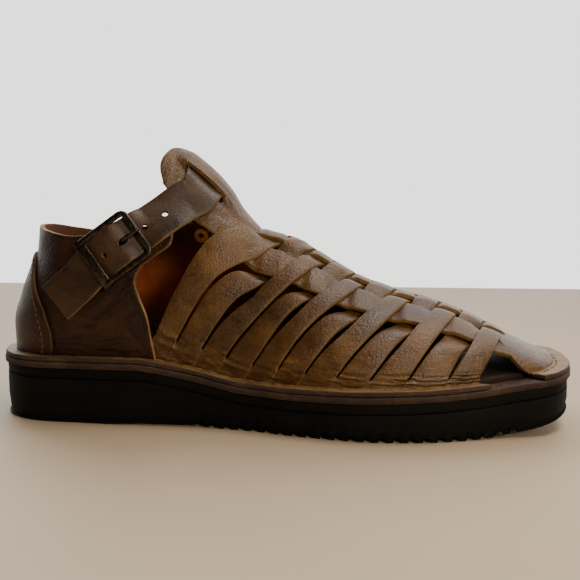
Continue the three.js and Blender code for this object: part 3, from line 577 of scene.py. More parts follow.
def solePiece(name, inset, xs, bottom, top, roundTop, roundBottom, material):
    # A slab of the sole, its rim rolled top and bottom
    scale = (sole["length"] - 2 * inset) / sole["length"]
    turns = np.linspace(0, math.pi / 2, 5)
    rim = [(roundTop * (1 - math.cos(a)), -roundTop * (1 - math.sin(a))) for a in turns[::-1]]
    low = [(roundBottom * (1 - math.sin(a)), roundBottom * (1 - math.cos(a))) for a in turns[::-1]]
    points = []
    for x in xs * scale:
        z0, z1 = float(bottom(x)), float(top(x))
        ring = []
        for side in (-1, 1):
            up = [(edgeY(x, side, inset + d), z1 + z) for d, z in rim]
            down = [(edgeY(x, side, inset + d), z0 + z) for d, z in low[::-1]]
            part = up + [(edgeY(x, side, inset), z0 + (z1 - z0) * 0.5)] + down
            ring += part if side < 0 else part[::-1]
        points += [(x, y, z) for y, z in ring]
    ring = len(points) // len(xs)
    faces = []
    for s in range(len(xs) - 1):
        for k in range(ring):
            a, b = s * ring + k, s * ring + (k + 1) % ring
            faces.append((a, b, b + ring, a + ring))
    last = (len(xs) - 1) * ring
    faces.append(tuple(range(ring)))
    faces.append(tuple(range(last, last + ring))[::-1])
    return meshOf(name, points, faces, [material])


def soleXs(step, extra=()):
    ends = np.array([0.15, 0.5, 1.1, 2, 3.2, 4.8, 7, 10, 13.5, 17.5, 22, 27])
    even = np.arange(heelEnd + 32, toeEnd - 30, step)
    every = np.sort(np.concatenate((heelEnd + ends, even, toeEnd - ends, np.asarray(extra, float))))
    return every[np.concatenate(([True], np.diff(every) > 0.12))]


lugs = {"first": -36.0, "count": 23, "pitch": 7.0, "groove": 4.0, "depth": 2.0, "slope": 0.7}
grooves = lugs["first"] + lugs["pitch"] * np.arange(lugs["count"])


def outsoleBottom(x):
    near = np.min(np.abs(grooves - x))
    cut = np.clip((lugs["groove"] / 2 - near) * lugs["depth"] / lugs["slope"], 0, lugs["depth"])
    return tread(x) + cut


grooveEdges = [g + d for g in grooves for d in (-2.0, -1.3, 1.3, 2.0)]
wedgeTop = lambda x: deckHeight(x) - sole["sheet"] - sole["gap"]
sheetBottom = lambda x: deckHeight(x) - sole["sheet"]
boardBottom = lambda x: deckHeight(x) + sole["gap"]
footbedTop = lambda x: seatHeight(x) + leather["insole"]
footbedInset = leather["flangeWidth"] + leather["wall"] + 1.4
slabs = [
    ("wedge_sole", 0, soleXs(4, grooveEdges), outsoleBottom, wedgeTop, 0.25, 1.1, "rubber", "sole_rubber",
     "outsole"),
    ("sole_sheet", 0.05, soleXs(4), sheetBottom, deckHeight, 0.5, 0.35, "rubber", "sole_sheet", "midsole"),
    ("board_sole", -sole["overhang"], soleXs(3), boardBottom, weltTop, 0.5, 0.5, "board", "leather_board",
     "leather_midsole"),
    ("footbed", footbedInset, soleXs(5), seatHeight, footbedTop, 0.6, 0.1, "footbed", "footbed", "insole"),
]
for *slab, finish, slot, node in slabs:
    keep(solePiece(*slab, looks[finish]), slot, node)
print("sole made")

weave = {"depth": 1.25, "thick": 2.3, "half": 8.0, "slitHalf": 0.72, "slitEnd": 0.06, "bow": 0.09,
         "dive": 2.7, "crown": 0.4, "roll": 0.32}
sideStrapTable = rows("x distance", (-30, 23), (0, 24), (20, 26), (45, 26), (92, 25), (125, 25))
sideDistance = column(sideStrapTable, "distance")
# How far a lower strip narrows and sinks as it dives under the side strap
tuckTable = rows("strip narrow deep", (1, 4.2, 1.9), (3, 3.8, 1.9), (5, 3.0, 1.6), (7, 1.9, 1.1),
                 (9, 0.9, 0.3))
tuckWidth, tuckDepth = column(tuckTable, "narrow", "strip"), column(tuckTable, "deep", "strip")


def slitAt(i, t):
    rise = np.where(t <= 1, t, 2 - t)
    share = np.sin(np.pi * rise / 2) - weave["bow"] * np.sin(np.pi * rise)
    return slitTable[i]["feather"] + (slitTable[i]["ridge"] - slitTable[i]["feather"]) * share


def slitOpen(i, t):
    # Half the width of slit i: shut on the feather band, widest a third of the way up the outer side
    rise = np.where(t <= 1, t, 2 - t)
    start = smooth((rise - weave["slitEnd"]) / 0.018)
    lens = np.exp(-((rise - 0.34) / 0.13) ** 2)
    overlap = -0.35 - 0.9 * smooth((rise - 0.3) / 0.15)
    return start * np.where(t <= 1, weave["slitHalf"] + slitTable[i]["open"] * lens, overlap)


def flat(c, sharp):
    return np.sin(np.pi / 2 * np.clip(sharp * c, -1, 1))


def halfArc(x, side):
    # Length of the section from the feather to the ridge
    ts = 1 + side * np.linspace(0, 1, 41)
    line = lastPoint(x[:, None] + 0 * ts, ts + 0 * x[:, None])
    return np.linalg.norm(np.diff(line, axis=1), axis=-1).sum(axis=1)


def belowStrap(i, t):
    # Distance in mm below the lower edge of the side strap, less than 0 above it
    middle = (slitAt(i, t) + slitAt(i + 1, t)) / 2
    rise = np.where(t <= 1, t, 2 - t)
    arc = np.where(t <= 1, halfArc(middle, -1), halfArc(middle, 1))
    outer = walk(middle, -sideDistance(middle))
    inner = walk(middle, sideDistance(middle))
    strapRise = np.where(t <= 1, outer, 2 - inner)
    return (strapRise - rise) / strapRise * (arc - sideDistance(middle)) - weave["half"], outer, inner


def stripWave(i, t):
    # Strips with an even index ride over the side straps, the others dive under them
    over = i % 2 == 0
    below, outer, inner = belowStrap(i, t)
    rise = np.where(t <= 1, t, 2 - t)
    leave = smooth((rise - weave["slitEnd"]) / 0.14)
    phase = np.clip(np.where(t < 1, (t - outer) / (1 - outer), (inner - t) / (inner - 1)), 0, 1)
    swing = flat(np.cos(np.pi * phase), 1.5)
    if over:
        return weave["depth"] * np.where(phase > 0, swing, leave * (0.55 + 0.45 * smooth((22 - below) / 22)))
    dive = -weave["dive"] * smooth((11 - below) / 13)
    tuck = -tuckDepth(np.array(float(i))) * np.exp(-((below - 0.5) / 5.0) ** 2) * np.where(t < 1, 1, 0.2)
    above = -weave["dive"] + (weave["depth"] + weave["dive"]) * (1 - swing) / 2
    return np.where(phase > 0, above, -0.25 * leave + dive) + tuck * (rise > 0.1)


creases = rows("x t long wide turn deep", (-52, 0.12, 9, 1.1, 12, 0.35), (-44, 0.2, 7, 1.0, -20, 0.25),
               (-38, 0.1, 8, 1.0, 8, 0.35), (-30, 0.17, 9, 1.2, -15, 0.3), (-20, 0.09, 10, 1.1, 10, 0.35),
               (-8, 0.15, 10, 1.2, -12, 0.3), (2, 0.08, 9, 1.0, 6, 0.35), (14, 0.13, 10, 1.2, -10, 0.3),
               (27, 0.1, 12, 1.3, 8, 0.35), (44, 0.16, 12, 1.3, -8, 0.3), (60, 0.1, 12, 1.2, 6, 0.3),
               (12, 0.95, 8, 1.2, 60, 0.3), (8, 0.88, 7, 1.1, 48, 0.3), (20, 0.9, 8, 1.2, 52, 0.22),
               (36, 0.93, 7, 1.1, 55, 0.25), (-22, 0.75, 10, 1.4, 35, 0.3), (-28, 0.66, 9, 1.3, 25, 0.3),
               (-18, 0.6, 9, 1.2, 40, 0.25), (-32, 0.84, 9, 1.3, 15, 0.25))


def troughAndRidge(share):
    return np.exp(-share ** 2) - 0.5 * np.exp(-(share - 1.9) ** 2)


def creased(x, t):
    # Soft troughs with a low ridge beside each, laid along the leather
    depth = np.zeros(np.broadcast(x, t).shape)
    for crease in creases:
        turn = math.radians(crease["turn"])
        dx = x - crease["x"]
        ds = (t - crease["t"]) * 62
        along = dx * math.cos(turn) + ds * math.sin(turn)
        across = -dx * math.sin(turn) + ds * math.cos(turn)
        fade = np.exp(-(along / crease["long"]) ** 2)
        depth -= crease["deep"] * fade * troughAndRidge(across / crease["wide"])
    return depth


def wrinkled(x, t):
    # Fine wavy folds along the feather, below the ends of the slits
    up = np.minimum(t, 2 - t) * 62
    wander = (0.9 * np.sin(x / 2.9) + 0.6 * np.sin(x / 1.3 + 2.0 * np.sin(x / 9.0))
              + 0.8 * np.sin(x / 6.1 + 1.0))
    fold = (np.sin(2 * np.pi * (up / 2.3 + 0.16 * wander))
            + 0.5 * np.sin(2 * np.pi * (up / 1.5 - 0.2 * wander + x / 17)))
    fade = smooth(up / 1.0) * smooth((9.0 - up) / 4.5) * (0.65 + 0.35 * np.sin(x / 4.7 + 0.5))
    return 0.5 * fold * fade


def crossStrip(i):
    feather = np.linspace(0, 0.07, 34)
    vs = np.concatenate((feather, np.linspace(0.076, 0.924, 130), 1 - feather[::-1]))
    ts = 2 * vs
    wave = stripWave(i, ts)
    below = belowStrap(i, ts)[0]
    narrow = (i % 2) * tuckWidth(np.array(float(i))) * np.exp(-((below - 1) / 8.0) ** 2) * (ts < 1)
    under = 1.8 * (i in (7, 9)) * np.exp(-((below - 1) / 8.0) ** 2) * (ts < 1)
    crown = weave["crown"] * (1 + 0.4 * (i % 2)) * smooth((np.minimum(ts, 2 - ts) - 0.06) / 0.12)

    def surface(u, v, offset):
        t = 2 * v
        start = slitAt(i, t) + slitOpen(i, t) + np.interp(v, vs, narrow)
        end = slitAt(i + 1, t) - slitOpen(i + 1, t) + np.interp(v, vs, under)
        x = start + (end - start) * u
        lift = np.interp(v, vs, wave) + np.interp(v, vs, crown) * (4 * u * (1 - u) - 0.5)
        thin = 1 - 0.12 * smooth((np.minimum(t, 2 - t) - 0.05) / 0.1)
        return onLast(x, t, offset * thin + lift + (creased(x, t) + wrinkled(x, t)) * (offset > 0))

    width, roll = 11, weave["roll"]
    opened = slitOpen(i, ts) + slitOpen(i + 1, ts)

    def unrolled(u, v):
        # The edges are square where neighbouring strips are still one piece
        return rollOff(np.minimum(u, 1 - u) * width, roll) * (1 - smooth(np.interp(v, vs, opened) / 0.5))

    piece = shell(f"strip_{i + 1}", surface, spread(9, width, roll), vs, width, 150, leather["wall"],
                  leatherSet, roll, unrolled, ends=(0, 0))
    return keep(piece, "upper_leather", "upper")


for i in range(len(slitTable) - 1):
    crossStrip(i)
print("cross strips made")


def stripPhase(x, t):
    middles = np.stack([(slitAt(i, t) + slitAt(i + 1, t)) / 2 for i in range(len(slitTable) - 1)])
    below = np.clip((middles <= x).sum(axis=0) - 1, 0, len(middles) - 2)
    pick = np.arange(x.size)
    low, high = middles[below, pick], middles[below + 1, pick]
    return below + (x - low) / (high - low)


def longStrap(name, centre, start, end, rides=False):
    length = (end - start) * 1.25
    vs = spread(230, length, weave["roll"])
    xs = start + (end - start) * vs
    mid = walk(xs, centre(xs))
    swing = flat(np.cos(np.pi * stripPhase(xs, mid)), 1.35)
    wave = weave["depth"] * swing if rides else -0.52 - 0.73 * swing
    low, high = walk(xs, centre(xs) - weave["half"]), walk(xs, centre(xs) + weave["half"])

    def surface(u, v, offset):
        x = start + (end - start) * v
        t = np.interp(v, vs, low) + (np.interp(v, vs, high) - np.interp(v, vs, low)) * u
        return onLast(x, t, offset + np.interp(v, vs, wave))

    width = 2 * weave["half"]
    piece = shell(name, surface, spread(11, width, weave["roll"]), vs, width, length, weave["thick"],
                  leatherSet, weave["roll"])
    return keep(piece, "upper_leather", "upper")


longStrap("side_strap_outer", lambda x: -sideDistance(x), -20, 117)
longStrap("side_strap_inner", sideDistance, -20, 117)
longStrap("middle_strap", lambda x: 0 * x, -20, 121, rides=True)
print("long straps made")

tongueParts = {"front": -12.0, "bridgeHalf": 10.5, "slotWidth": 5.0, "slotBack": -47.0, "slotFront": -28.5,
               "lift": 1.75}
tongueTable = rows("x half", (-60, 29.5), (-50, 35), (-41.6, 37), (-23.8, 32.5), (-12, 30.5))
tongueBackTable = rows("distance back", (0, -52), (10.7, -57.9), (22, -60.9), (29.7, -58.8))
tongueHalf = column(tongueTable, "half")
tongueBack = column(tongueBackTable, "back", "distance")


def tongueLift(x, distance):
    part = tongueParts
    within = x + 0.1 * np.abs(distance)
    inSlot = smooth((within - part["slotBack"] + 7) / 7) * smooth((part["slotFront"] + 9 - within) / 9)
    side = smooth((np.abs(distance) - part["bridgeHalf"]) / part["slotWidth"])
    return part["lift"] * (1 - 2 * side) * inSlot


def tongueSurface(u, v, offset):
    front = tongueParts["front"]
    share = 2 * u - 1
    half = 30 + 0 * u
    for _ in range(3):
        back = tongueBack(np.minimum(np.abs(share) * half, 29.7))
        x = back + (front - back) * v
        half = tongueHalf(x)
    distance = share * half
    t = walk(x, distance)
    return onLast(x, t, offset + tongueLift(x, distance) + creased(x, t) * (offset > 0))


tongue = shell("tongue", tongueSurface, spread(56, 66, 0.35), spread(46, 46, 0.35), 66, 46,
               leather["wall"], leatherSet, 0.35)


def slotCutter(side):
    part = tongueParts
    us, vs = np.linspace(0, 1, 4), np.linspace(0, 1, 15)

    def surface(u, v, offset):
        middle = part["bridgeHalf"] + part["slotWidth"] / 2
        bow = np.sqrt(np.clip(1 - np.clip((v - 0.86) / 0.14, 0, 1) ** 2, 0, 1))
        hole = (0.62 + 0.38 * np.sin(np.pi * np.clip((v - 0.8) / 0.2, 0, 1))
                + 0.38 * (1 - smooth((v - 0.7) / 0.2)))
        distance = side * (middle + part["slotWidth"] * (u - 0.5) * hole * bow)
        x = part["slotBack"] + (part["slotFront"] + 1.2 - part["slotBack"]) * v - 0.1 * np.abs(distance)
        return onLast(x, walk(x, distance), offset * 5)

    return shell(f"slot_cutter_{side}", surface, us, vs, 5, 20, 2.0, [looks["edge"]] * 3, 0.01)


def carve(piece, cutters):
    # Cuts the cutters out of the piece and removes them
    for cutter in cutters:
        modifier = piece.modifiers.new("cut", "BOOLEAN")
        modifier.operation = "DIFFERENCE"
        modifier.solver = "EXACT"
        modifier.object = cutter
    depsgraph = bpy.context.evaluated_depsgraph_get()
    mesh = bpy.data.meshes.new_from_object(piece.evaluated_get(depsgraph))
    piece.modifiers.clear()
    piece.data = mesh
    for cutter in cutters:
        bpy.data.objects.remove(cutter)
    mesh.set_sharp_from_angle(angle=math.radians(38))


carve(tongue, [slotCutter(-1), slotCutter(1)])
keep(tongue, "upper_leather", "upper")
print("tongue made")


def toeBack(t):
    return 110 + 17.4 * (1 - np.sin(np.pi * np.minimum(t, 2 - t) / 2))


def toeSurface(u, v, offset):
    end = toeEnd - leather["flangeWidth"] - leather["wall"] / 2 - 0.6
    t = 2 * u
    x = toeBack(t) + (end - toeBack(t)) * v
    return onLast(x, t, offset)


keep(shell("toe_piece", toeSurface, spread(60, 110), spread(26, 34), 110, 34, leather["wall"], leatherSet,
           0.5), "upper_leather", "upper")


def quarterSurface(u, v, offset):
    guess = 30 + 68 * v
    outerFront = outlineAt(quarterOuterFront(guess), -1, leather["flangeWidth"])
    innerFront = 1 - outlineAt(quarterInnerFront(guess), 1, leather["flangeWidth"])
    q = -innerFront + (outerFront + innerFront) * u
    x = quarterPoint(q, guess)[..., 0]
    low = seatHeight(x) + 0.8
    z = low + (collarHeight(x) - low) * v
    return onQuarter(q, z, offset - leather["wall"] / 2 + quarterCreased(x, z, q) * (offset > 0))


quarterCreases = rows("x z long wide turn deep", (-82, 43, 13, 1.1, 8, 0.6), (-94, 39, 12, 1.0, -6, 0.6),
                      (-74, 37, 8, 0.9, 12, 0.5), (-101, 46, 10, 1.2, 14, 0.5), (-78, 50, 9, 1.2, -22, 0.45),
                      (-88, 58, 12, 1.6, 35, 0.45), (-70, 45, 7, 1.1, -50, 0.5), (-110, 40.5, 7, 1.0, 4, 0.5),
                      (-68, 57, 8, 1.4, -62, 0.5), (-86, 37.5, 10, 0.9, 3, 0.5), (-97, 52, 9, 1.3, -10, 0.4),
                      (-90, 47.5, 8, 1.0, 18, 0.45), (-76, 56, 9, 1.5, 28, 0.4),
                      (-104, 37.5, 8, 0.9, -4, 0.45), (-98, 64, 10, 1.8, 40, 0.4), (-81, 66, 9, 1.7, 48, 0.35))


def quarterCreased(x, z, q):
    depth = np.zeros(np.broadcast(x, z).shape)
    outer = np.mod(q, 1) < 0.5
    for crease in quarterCreases:
        turn = math.radians(crease["turn"])
        dx, dz = x - crease["x"], z - crease["z"]
        along = dx * math.cos(turn) + dz * math.sin(turn)
        across = -dx * math.sin(turn) + dz * math.cos(turn)
        fade = np.exp(-(along / crease["long"]) ** 2) * outer
        depth -= crease["deep"] * fade * troughAndRidge(across / crease["wide"])
    return depth


keep(shell("quarter", quarterSurface, spread(240, 230), spread(84, 68), 230, 68, leather["wall"],
           quarterSet, 0.6), "upper_leather", "upper")

counterTable = rows("z reach", (34.8, 0.096), (38, 0.1), (45, 0.1), (56, 0.092), (64, 0.078),
                    (75, 0.055), (82, 0.038), (86, 0.026))
counter = {"top": 86.0, "bottom": 35.0, "gap": 0.25, "thick": 1.8}
counterReach = column(counterTable, "reach", "z")


def counterPlace(across, v):
    top = counter["top"] - 3.5 * across ** 4
    z = counter["bottom"] + (top - counter["bottom"]) * v
    return counterReach(z) * across, z


def counterSurface(u, v, offset):
    q, z = counterPlace(2 * u - 1, v)
    return onQuarter(q, z, offset + counter["gap"] + counter["thick"] / 2)


keep(shell("heel_patch", counterSurface, spread(50, 60), spread(40, 50), 60, 50, counter["thick"],
           [looks["quarter"], looks["seam"], looks["suede"]], 0.6),
     "upper_leather", "heel_counter")


flange = {"outer": -sole["overhang"] + 0.4, "inner": leather["flangeWidth"] + leather["wall"] * 0.9,
          "stitchAt": 0.62, "channel": 0.35, "swell": 0.12, "perimeter": 740, "gap": 0.0005, "slant": 0.006}


def flangePiece(name, start, end, count, slants=(0, 0)):
    # The out-turned rim, rounded outside and sunk a little along its stitch line
    outer, inner = flange["outer"], flange["inner"]
    width = inner - outer

    def surface(u, v, offset):
        q = start + (end - start) * v + (u - 0.5) * (slants[0] * (1 - v) + slants[1] * v)
        x, y = outlinePoint(q, outer + (inner - outer) * u)
        channel = flange["channel"] * np.exp(-((u - flange["stitchAt"]) / 0.1) ** 2)
        swell = flange["swell"] * np.sin(37 * 2 * np.pi * q) * np.sin(11 * 2 * np.pi * q)
        z = seatHeight(x) + leather["wall"] / 2 + offset - (channel - swell) * (offset > 0)
        return stack(x, y, z)

    length = abs(end - start) * flange["perimeter"]
    piece = shell(name, surface, spread(12, width, 0.8), spread(count, length), width, length,
                  leather["wall"], [looks["flange"], looks["board"], looks["board"]], 0.8)
    return keep(piece, "upper_leather", "upper")


mainEnd = float(outlineAt(100, -1, leather["flangeWidth"]))
toeStart = float(outlineAt(127, -1, leather["flangeWidth"]))
# The quarter's own flange meets the vamp's at a slanted cut on each side
heelFlangeEnd = float(outlineAt(-73.5, -1, leather["flangeWidth"]))
slant = flange["slant"]
flangePiece("flange_heel", -heelFlangeEnd, heelFlangeEnd, 130, (-slant, slant))
flangePiece("flange_outer", heelFlangeEnd + flange["gap"], mainEnd, 110, (slant, -0.004))
flangePiece("flange_inner", -mainEnd, -heelFlangeEnd - flange["gap"], 110, (0.004, -slant))
flangePiece("flange_toe", toeStart, 1 - toeStart, 70, (0.004, -0.004))
print("quarter, patch and flange made")

buckle = {"x": -79.0, "z": 89.5, "fall": 37.4, "half": 13.6, "bar": 2.4, "low": 4.6, "high": 7.4,
          "plate": 5.0, "plateHigh": 6.2, "pin": 2.8, "pinRadius": 1.0, "corner": 3.0}
buckleQ = quarterAt(buckle["x"], -1, buckle["z"])
buckleCentre = onQuarter(buckleQ, buckle["z"], 0.0)
buckleOut = onQuarter(buckleQ, buckle["z"], 1.0) - buckleCentre
fall = math.radians(buckle["fall"])
buckleBack = np.array([-math.cos(fall), 0, -math.sin(fall)])
buckleBack -= buckleOut * buckleBack.dot(buckleOut)
buckleBack /= np.linalg.norm(buckleBack)
buckleAcross = np.cross(buckleOut, buckleBack)


def atBuckle(d, w, o):
    return buckleCentre + buckleBack * d + buckleAcross * w + buckleOut * o


def catmull(points, count):
    # Points on a smooth curve through the given ones
    points = np.asarray(points, float)
    gaps = np.sqrt(np.linalg.norm(np.diff(points, axis=0), axis=1))
    knots = np.concatenate(([0], np.cumsum(gaps)))
    tangents = np.empty_like(points)
    tangents[0] = (points[1] - points[0]) / gaps[0]
    tangents[-1] = (points[-1] - points[-2]) / gaps[-1]
    for k in range(1, len(points) - 1):
        before = (points[k] - points[k - 1]) / gaps[k - 1]
        after = (points[k + 1] - points[k]) / gaps[k]
        tangents[k] = (before * gaps[k] + after * gaps[k - 1]) / (gaps[k] + gaps[k - 1])
    at = np.linspace(0, len(points) - 1, count)
    k = np.minimum(at.astype(int), len(points) - 2)
    t = (at - k)[:, None]
    span = (knots[k + 1] - knots[k])[:, None]
    a, b, m, n = points[k], points[k + 1], tangents[k] * span, tangents[k + 1] * span
    return a + (b - a) * t * t * (3 - 2 * t) + m * t * (1 - t) ** 2 - n * t * t * (1 - t)


def strapRow(surface, height, tilt):
    point = surface(height)
    out = surface(height + 1) - point
    out /= np.linalg.norm(out)
    angle = math.radians(tilt)
    across = np.array([math.cos(angle), 0, -math.sin(angle)])
    across -= out * across.dot(out)
    return point, across / np.linalg.norm(across)


def wall(side, x, z):
    return lambda height: onQuarter(quarterAt(x, side, z), z, height)


def top(x, distance):
    return lambda height: onLast(x, walk(x, distance), height)


def free(x, y, z):
    return lambda height: np.array([x, y - 0.9 * height, z + 0.4 * height])


def atBar(d):
    return lambda height: atBuckle(d, 0, height)


rivet = {"x": -48.0, "z": 94.0, "seat": 0.7}
lift, dip, thick = 1.15, 2.1, leather["strapThick"]
strapRows = [
    strapRow(wall(-1, -110.5, 62.0), 2.1, 52), strapRow(wall(-1, -105.0, 67.0), 2.1, 52),
    strapRow(wall(-1, -97.5, 73.0), 2.7, 52.6), strapRow(atBar(15.5), 3, 52.6),
    strapRow(atBar(10.5), 3.1, 52.6),
    strapRow(atBar(4), 6.7, 52.6), strapRow(atBar(0), 7, 52.6), strapRow(atBar(-4), 6.7, 52.6),
    strapRow(atBar(-10), 3.1, 52.6), strapRow(atBar(-15.5), 3, 52.6),
    strapRow(free(-62, -31.5, 102.4), 0, 52.6),
    strapRow(free(-54, -26.5, 108.4), 0, 52), strapRow(top(-46.5, -31), 1.6, 51),
    strapRow(top(-41.5, -24), lift + 0.2, 49), strapRow(top(-39.3, -17.5), lift, 47),
    strapRow(top(-38.6, -13), -0.5, 46), strapRow(top(-38.1, -9), -dip, 45),
    strapRow(top(-37.8, -4), -dip, 44),
    strapRow(top(-37.7, 0), -dip, 44), strapRow(top(-37.8, 4), -dip, 43), strapRow(top(-38.1, 9), -dip, 41),
    strapRow(top(-38.6, 13), -0.5, 39), strapRow(top(-39.5, 17.5), lift, 36),
    strapRow(top(-41.5, 25), lift + 0.4, 31), strapRow(wall(1, -45.5, 101.0), 2.1, 26),
    strapRow(wall(1, rivet["x"], rivet["z"]), thick / 2 + rivet["seat"], 24),
    strapRow(wall(1, -52.5, 84.0), thick / 2 + rivet["seat"] + 0.2, 24),
]
strapCount = 261
strapLine = catmull([point for point, _ in strapRows], strapCount)
rowShare = np.linspace(0, 1, len(strapRows))
strapShare = np.linspace(0, 1, strapCount)
strapAcross = np.stack([np.interp(strapShare, rowShare, [across[k] for _, across in strapRows])
                        for k in range(3)], axis=-1)
for _ in range(12):
    strapLine[1:-1] = (strapLine[:-2] + 2 * strapLine[1:-1] + strapLine[2:]) / 4
strapAlong = np.gradient(strapLine, axis=0)
strapAlong /= np.linalg.norm(strapAlong, axis=1, keepdims=True)
strapAcross -= strapAlong * np.sum(strapAcross * strapAlong, axis=1, keepdims=True)
strapAcross /= np.linalg.norm(strapAcross, axis=1, keepdims=True)
strapOut = np.cross(strapAcross, strapAlong)


def onStrap(w, v, offset):
    w, v, offset = np.broadcast_arrays(*(np.asarray(value, float) for value in (w, v, offset)))
    read = lambda table: np.stack([np.interp(v, strapShare, table[:, k]) for k in range(3)], axis=-1)
    return read(strapLine) + read(strapAcross) * w[..., None] + read(strapOut) * offset[..., None]


def tube(name, centres, ups, outline, materials, closed=False):
    # Sweeps an outline of (side, up) pairs along centres
    centres, ups = np.asarray(centres, float), np.asarray(ups, float)
    along = np.gradient(centres, axis=0)
    if closed:
        along = np.roll(centres, -1, axis=0) - np.roll(centres, 1, axis=0)
    along /= np.linalg.norm(along, axis=1, keepdims=True)
    sides = np.cross(along, ups)
    sides /= np.linalg.norm(sides, axis=1, keepdims=True)
    ups = np.cross(sides, along)
    outline = np.asarray(outline, float)
    if outline.ndim == 2:
        outline = np.repeat(outline[None], len(centres), axis=0)
    points = centres[:, None] + sides[:, None] * outline[..., :1] + ups[:, None] * outline[..., 1:]
    ring = outline.shape[1]
    faces = []
    for s in range(len(centres) - (0 if closed else 1)):
        for k in range(ring):
            a, b = s * ring + k, s * ring + (k + 1) % ring
            c = ((s + 1) % len(centres)) * ring
            faces.append((a, b, c + (k + 1) % ring, c + k))
    if not closed:
        faces.append(tuple(range(ring)))
        faces.append(tuple(range((len(centres) - 1) * ring, len(centres) * ring)))
    return meshOf(name, points.reshape(-1, 3), faces, materials)


def circle(radius, count=16):
    turns = np.linspace(0, 2 * math.pi, count, endpoint=False)
    return [(radius * math.cos(a), radius * math.sin(a)) for a in turns]


def roundedBox(width, height, corner, steps=4):
    shape = []
    for cx, cy, start in ((1, 1, 0), (-1, 1, 90), (-1, -1, 180), (1, -1, 270)):
        for a in np.linspace(start, start + 90, steps):
            shape.append((cx * (width / 2 - corner) + corner * math.cos(math.radians(a)),
                          cy * (height / 2 - corner) + corner * math.sin(math.radians(a))))
    return shape


strapVs = spread(230, 200)
strap = shell("ankle_strap_leather", lambda u, v, o: onStrap((u - 0.5) * leather["strapWidth"], v, o),
              spread(14, leather["strapWidth"]), strapVs, leather["strapWidth"], 200, thick, strapSet)
holes = {"radius": 1.65, "xs": (-55.5, -64.6, -83.7)}
cutters = []
for n, x in enumerate(holes["xs"]):
    k = int(np.argmin(np.abs(strapLine[:130, 0] - x)))
    cutters.append(tube(f"hole_cutter_{n}", strapLine[k] + strapOut[k] * np.array([[-6.0], [0.0], [6.0]]),
                        [strapAcross[k]] * 3, circle(holes["radius"], 20), [looks["edge"]]))
prongHole = atBuckle(-5.3, 0, 5.5)
cutters.append(tube("hole_cutter_prong", prongHole + buckleOut * np.array([[-3.2], [0.0], [4.0]]),
                    [buckleAcross] * 3, [(a * 1.55, b) for a, b in circle(1.75, 20)], [looks["edge"]]))
rivetQ = quarterAt(rivet["x"], 1, rivet["z"])
rivetCentre = onQuarter(rivetQ, rivet["z"], 0.0)
rivetOut = onQuarter(rivetQ, rivet["z"], 1.0) - rivetCentre
cutters.append(tube("hole_cutter_rivet", rivetCentre + rivetOut * np.array([[-1.0], [2.0], [6.0]]),
                    [[1, 0, 0]] * 3, circle(2.3, 20), [looks["edge"]]))
carve(strap, cutters)
keep(strap, "strap_leather", "ankle_strap")
print("ankle strap made")


def join(name, pieces):
    # One mesh from several closed ones
    work = bmesh.new()
    materials = []
    for piece in pieces:
        before = len(work.faces)
        work.from_mesh(piece.data)
        work.faces.ensure_lookup_table()
        base = len(materials)
        materials += list(piece.data.materials)
        for face in work.faces[before:]:
            face.material_index += base
        bpy.data.objects.remove(piece)
    mesh = bpy.data.meshes.new(name)
    work.to_mesh(mesh)
    work.free()
    for material in materials:
        mesh.materials.append(material)
    mesh.set_sharp_from_angle(angle=math.radians(38))
    joined = bpy.data.objects.new(name, mesh)
    bpy.context.scene.collection.objects.link(joined)
    return joined


def buckleFrame():
    half, bar = buckle["half"], buckle["bar"]
    front, rear = -half - 1.5, half - 0.5
    middle = (buckle["low"] + buckle["high"]) / 2
    corner = buckle["corner"]
    path = [(rear, -half + bar / 2)]
    for a in np.linspace(0, 90, 7):
        turn = math.radians(a)
        path.append((front + bar / 2 + corner * (1 - math.sin(turn)),
                     -half + bar / 2 + corner * (1 - math.cos(turn))))
    path += [(d, -w) for d, w in path[::-1]]
    centres = [atBuckle(d, w, middle) for d, w in path]
    hoop = tube("hoop", centres, [buckleOut] * len(centres),
                roundedBox(bar + 0.7, buckle["high"] - buckle["low"], 0.9), [looks["bronze"]])
    plateMiddle = (buckle["low"] + buckle["plateHigh"]) / 2
    plateEnds = (-half - 0.4, -half, half, half + 0.4)
    plateShape = roundedBox(buckle["plate"], 1.6, 0.5)
    plate = tube("plate", [atBuckle(half, w, plateMiddle) for w in plateEnds], [buckleOut] * 4,
                 [[(a * s, b * s) for a, b in plateShape] for s in (0.86, 1, 1, 0.86)], [looks["bronze"]])
    pin = tube("pin", [atBuckle(0, w, buckle["pin"]) for w in (-half + 1.2, 0, half - 1.2)], [buckleOut] * 3,
               circle(buckle["pinRadius"]), [looks["bronze"]])
    ears = [tube(f"ear_{side}", [atBuckle(0, side * (half - bar / 2), o) for o in (1.6, 2.8, 5.2)],
                 [buckleBack] * 3, roundedBox(bar, 3.0, 0.7), [looks["bronze"]]) for side in (-1, 1)]
    return join("buckle", [hoop, plate, pin] + ears)


keep(buckleFrame(), "buckle_metal", "buckle_frame")


def buckleProng():
    ring = [atBuckle(1.85 * math.cos(a), 0, buckle["pin"] + 1.85 * math.sin(a))
            for a in np.linspace(0, 2 * math.pi, 24, endpoint=False)]
    loop = tube("prong_loop", ring, [buckleAcross] * 24, roundedBox(1.0, 2.2, 0.35), [looks["bronze"]],
                closed=True)
    path = ((-1.6, 3.4), (-4.6, 4.9), (-6.5, 7.5), (-9, 8.9), (-12, 9.1), (-buckle["half"] - 2.4, 8.9))
    spine = catmull([atBuckle(d, 0, o) for d, o in path], 26)
    widths = np.interp(np.linspace(0, 1, 26), [0, 0.5, 0.95, 1], [1.25, 1.35, 1.2, 0.7])
    shaft = tube("prong_shaft", spine, [buckleAcross] * 26,
                 [[(a * s, b * s) for a, b in circle(0.95)] for s in widths], [looks["bronze"]])
    return join("prong", [loop, shaft])


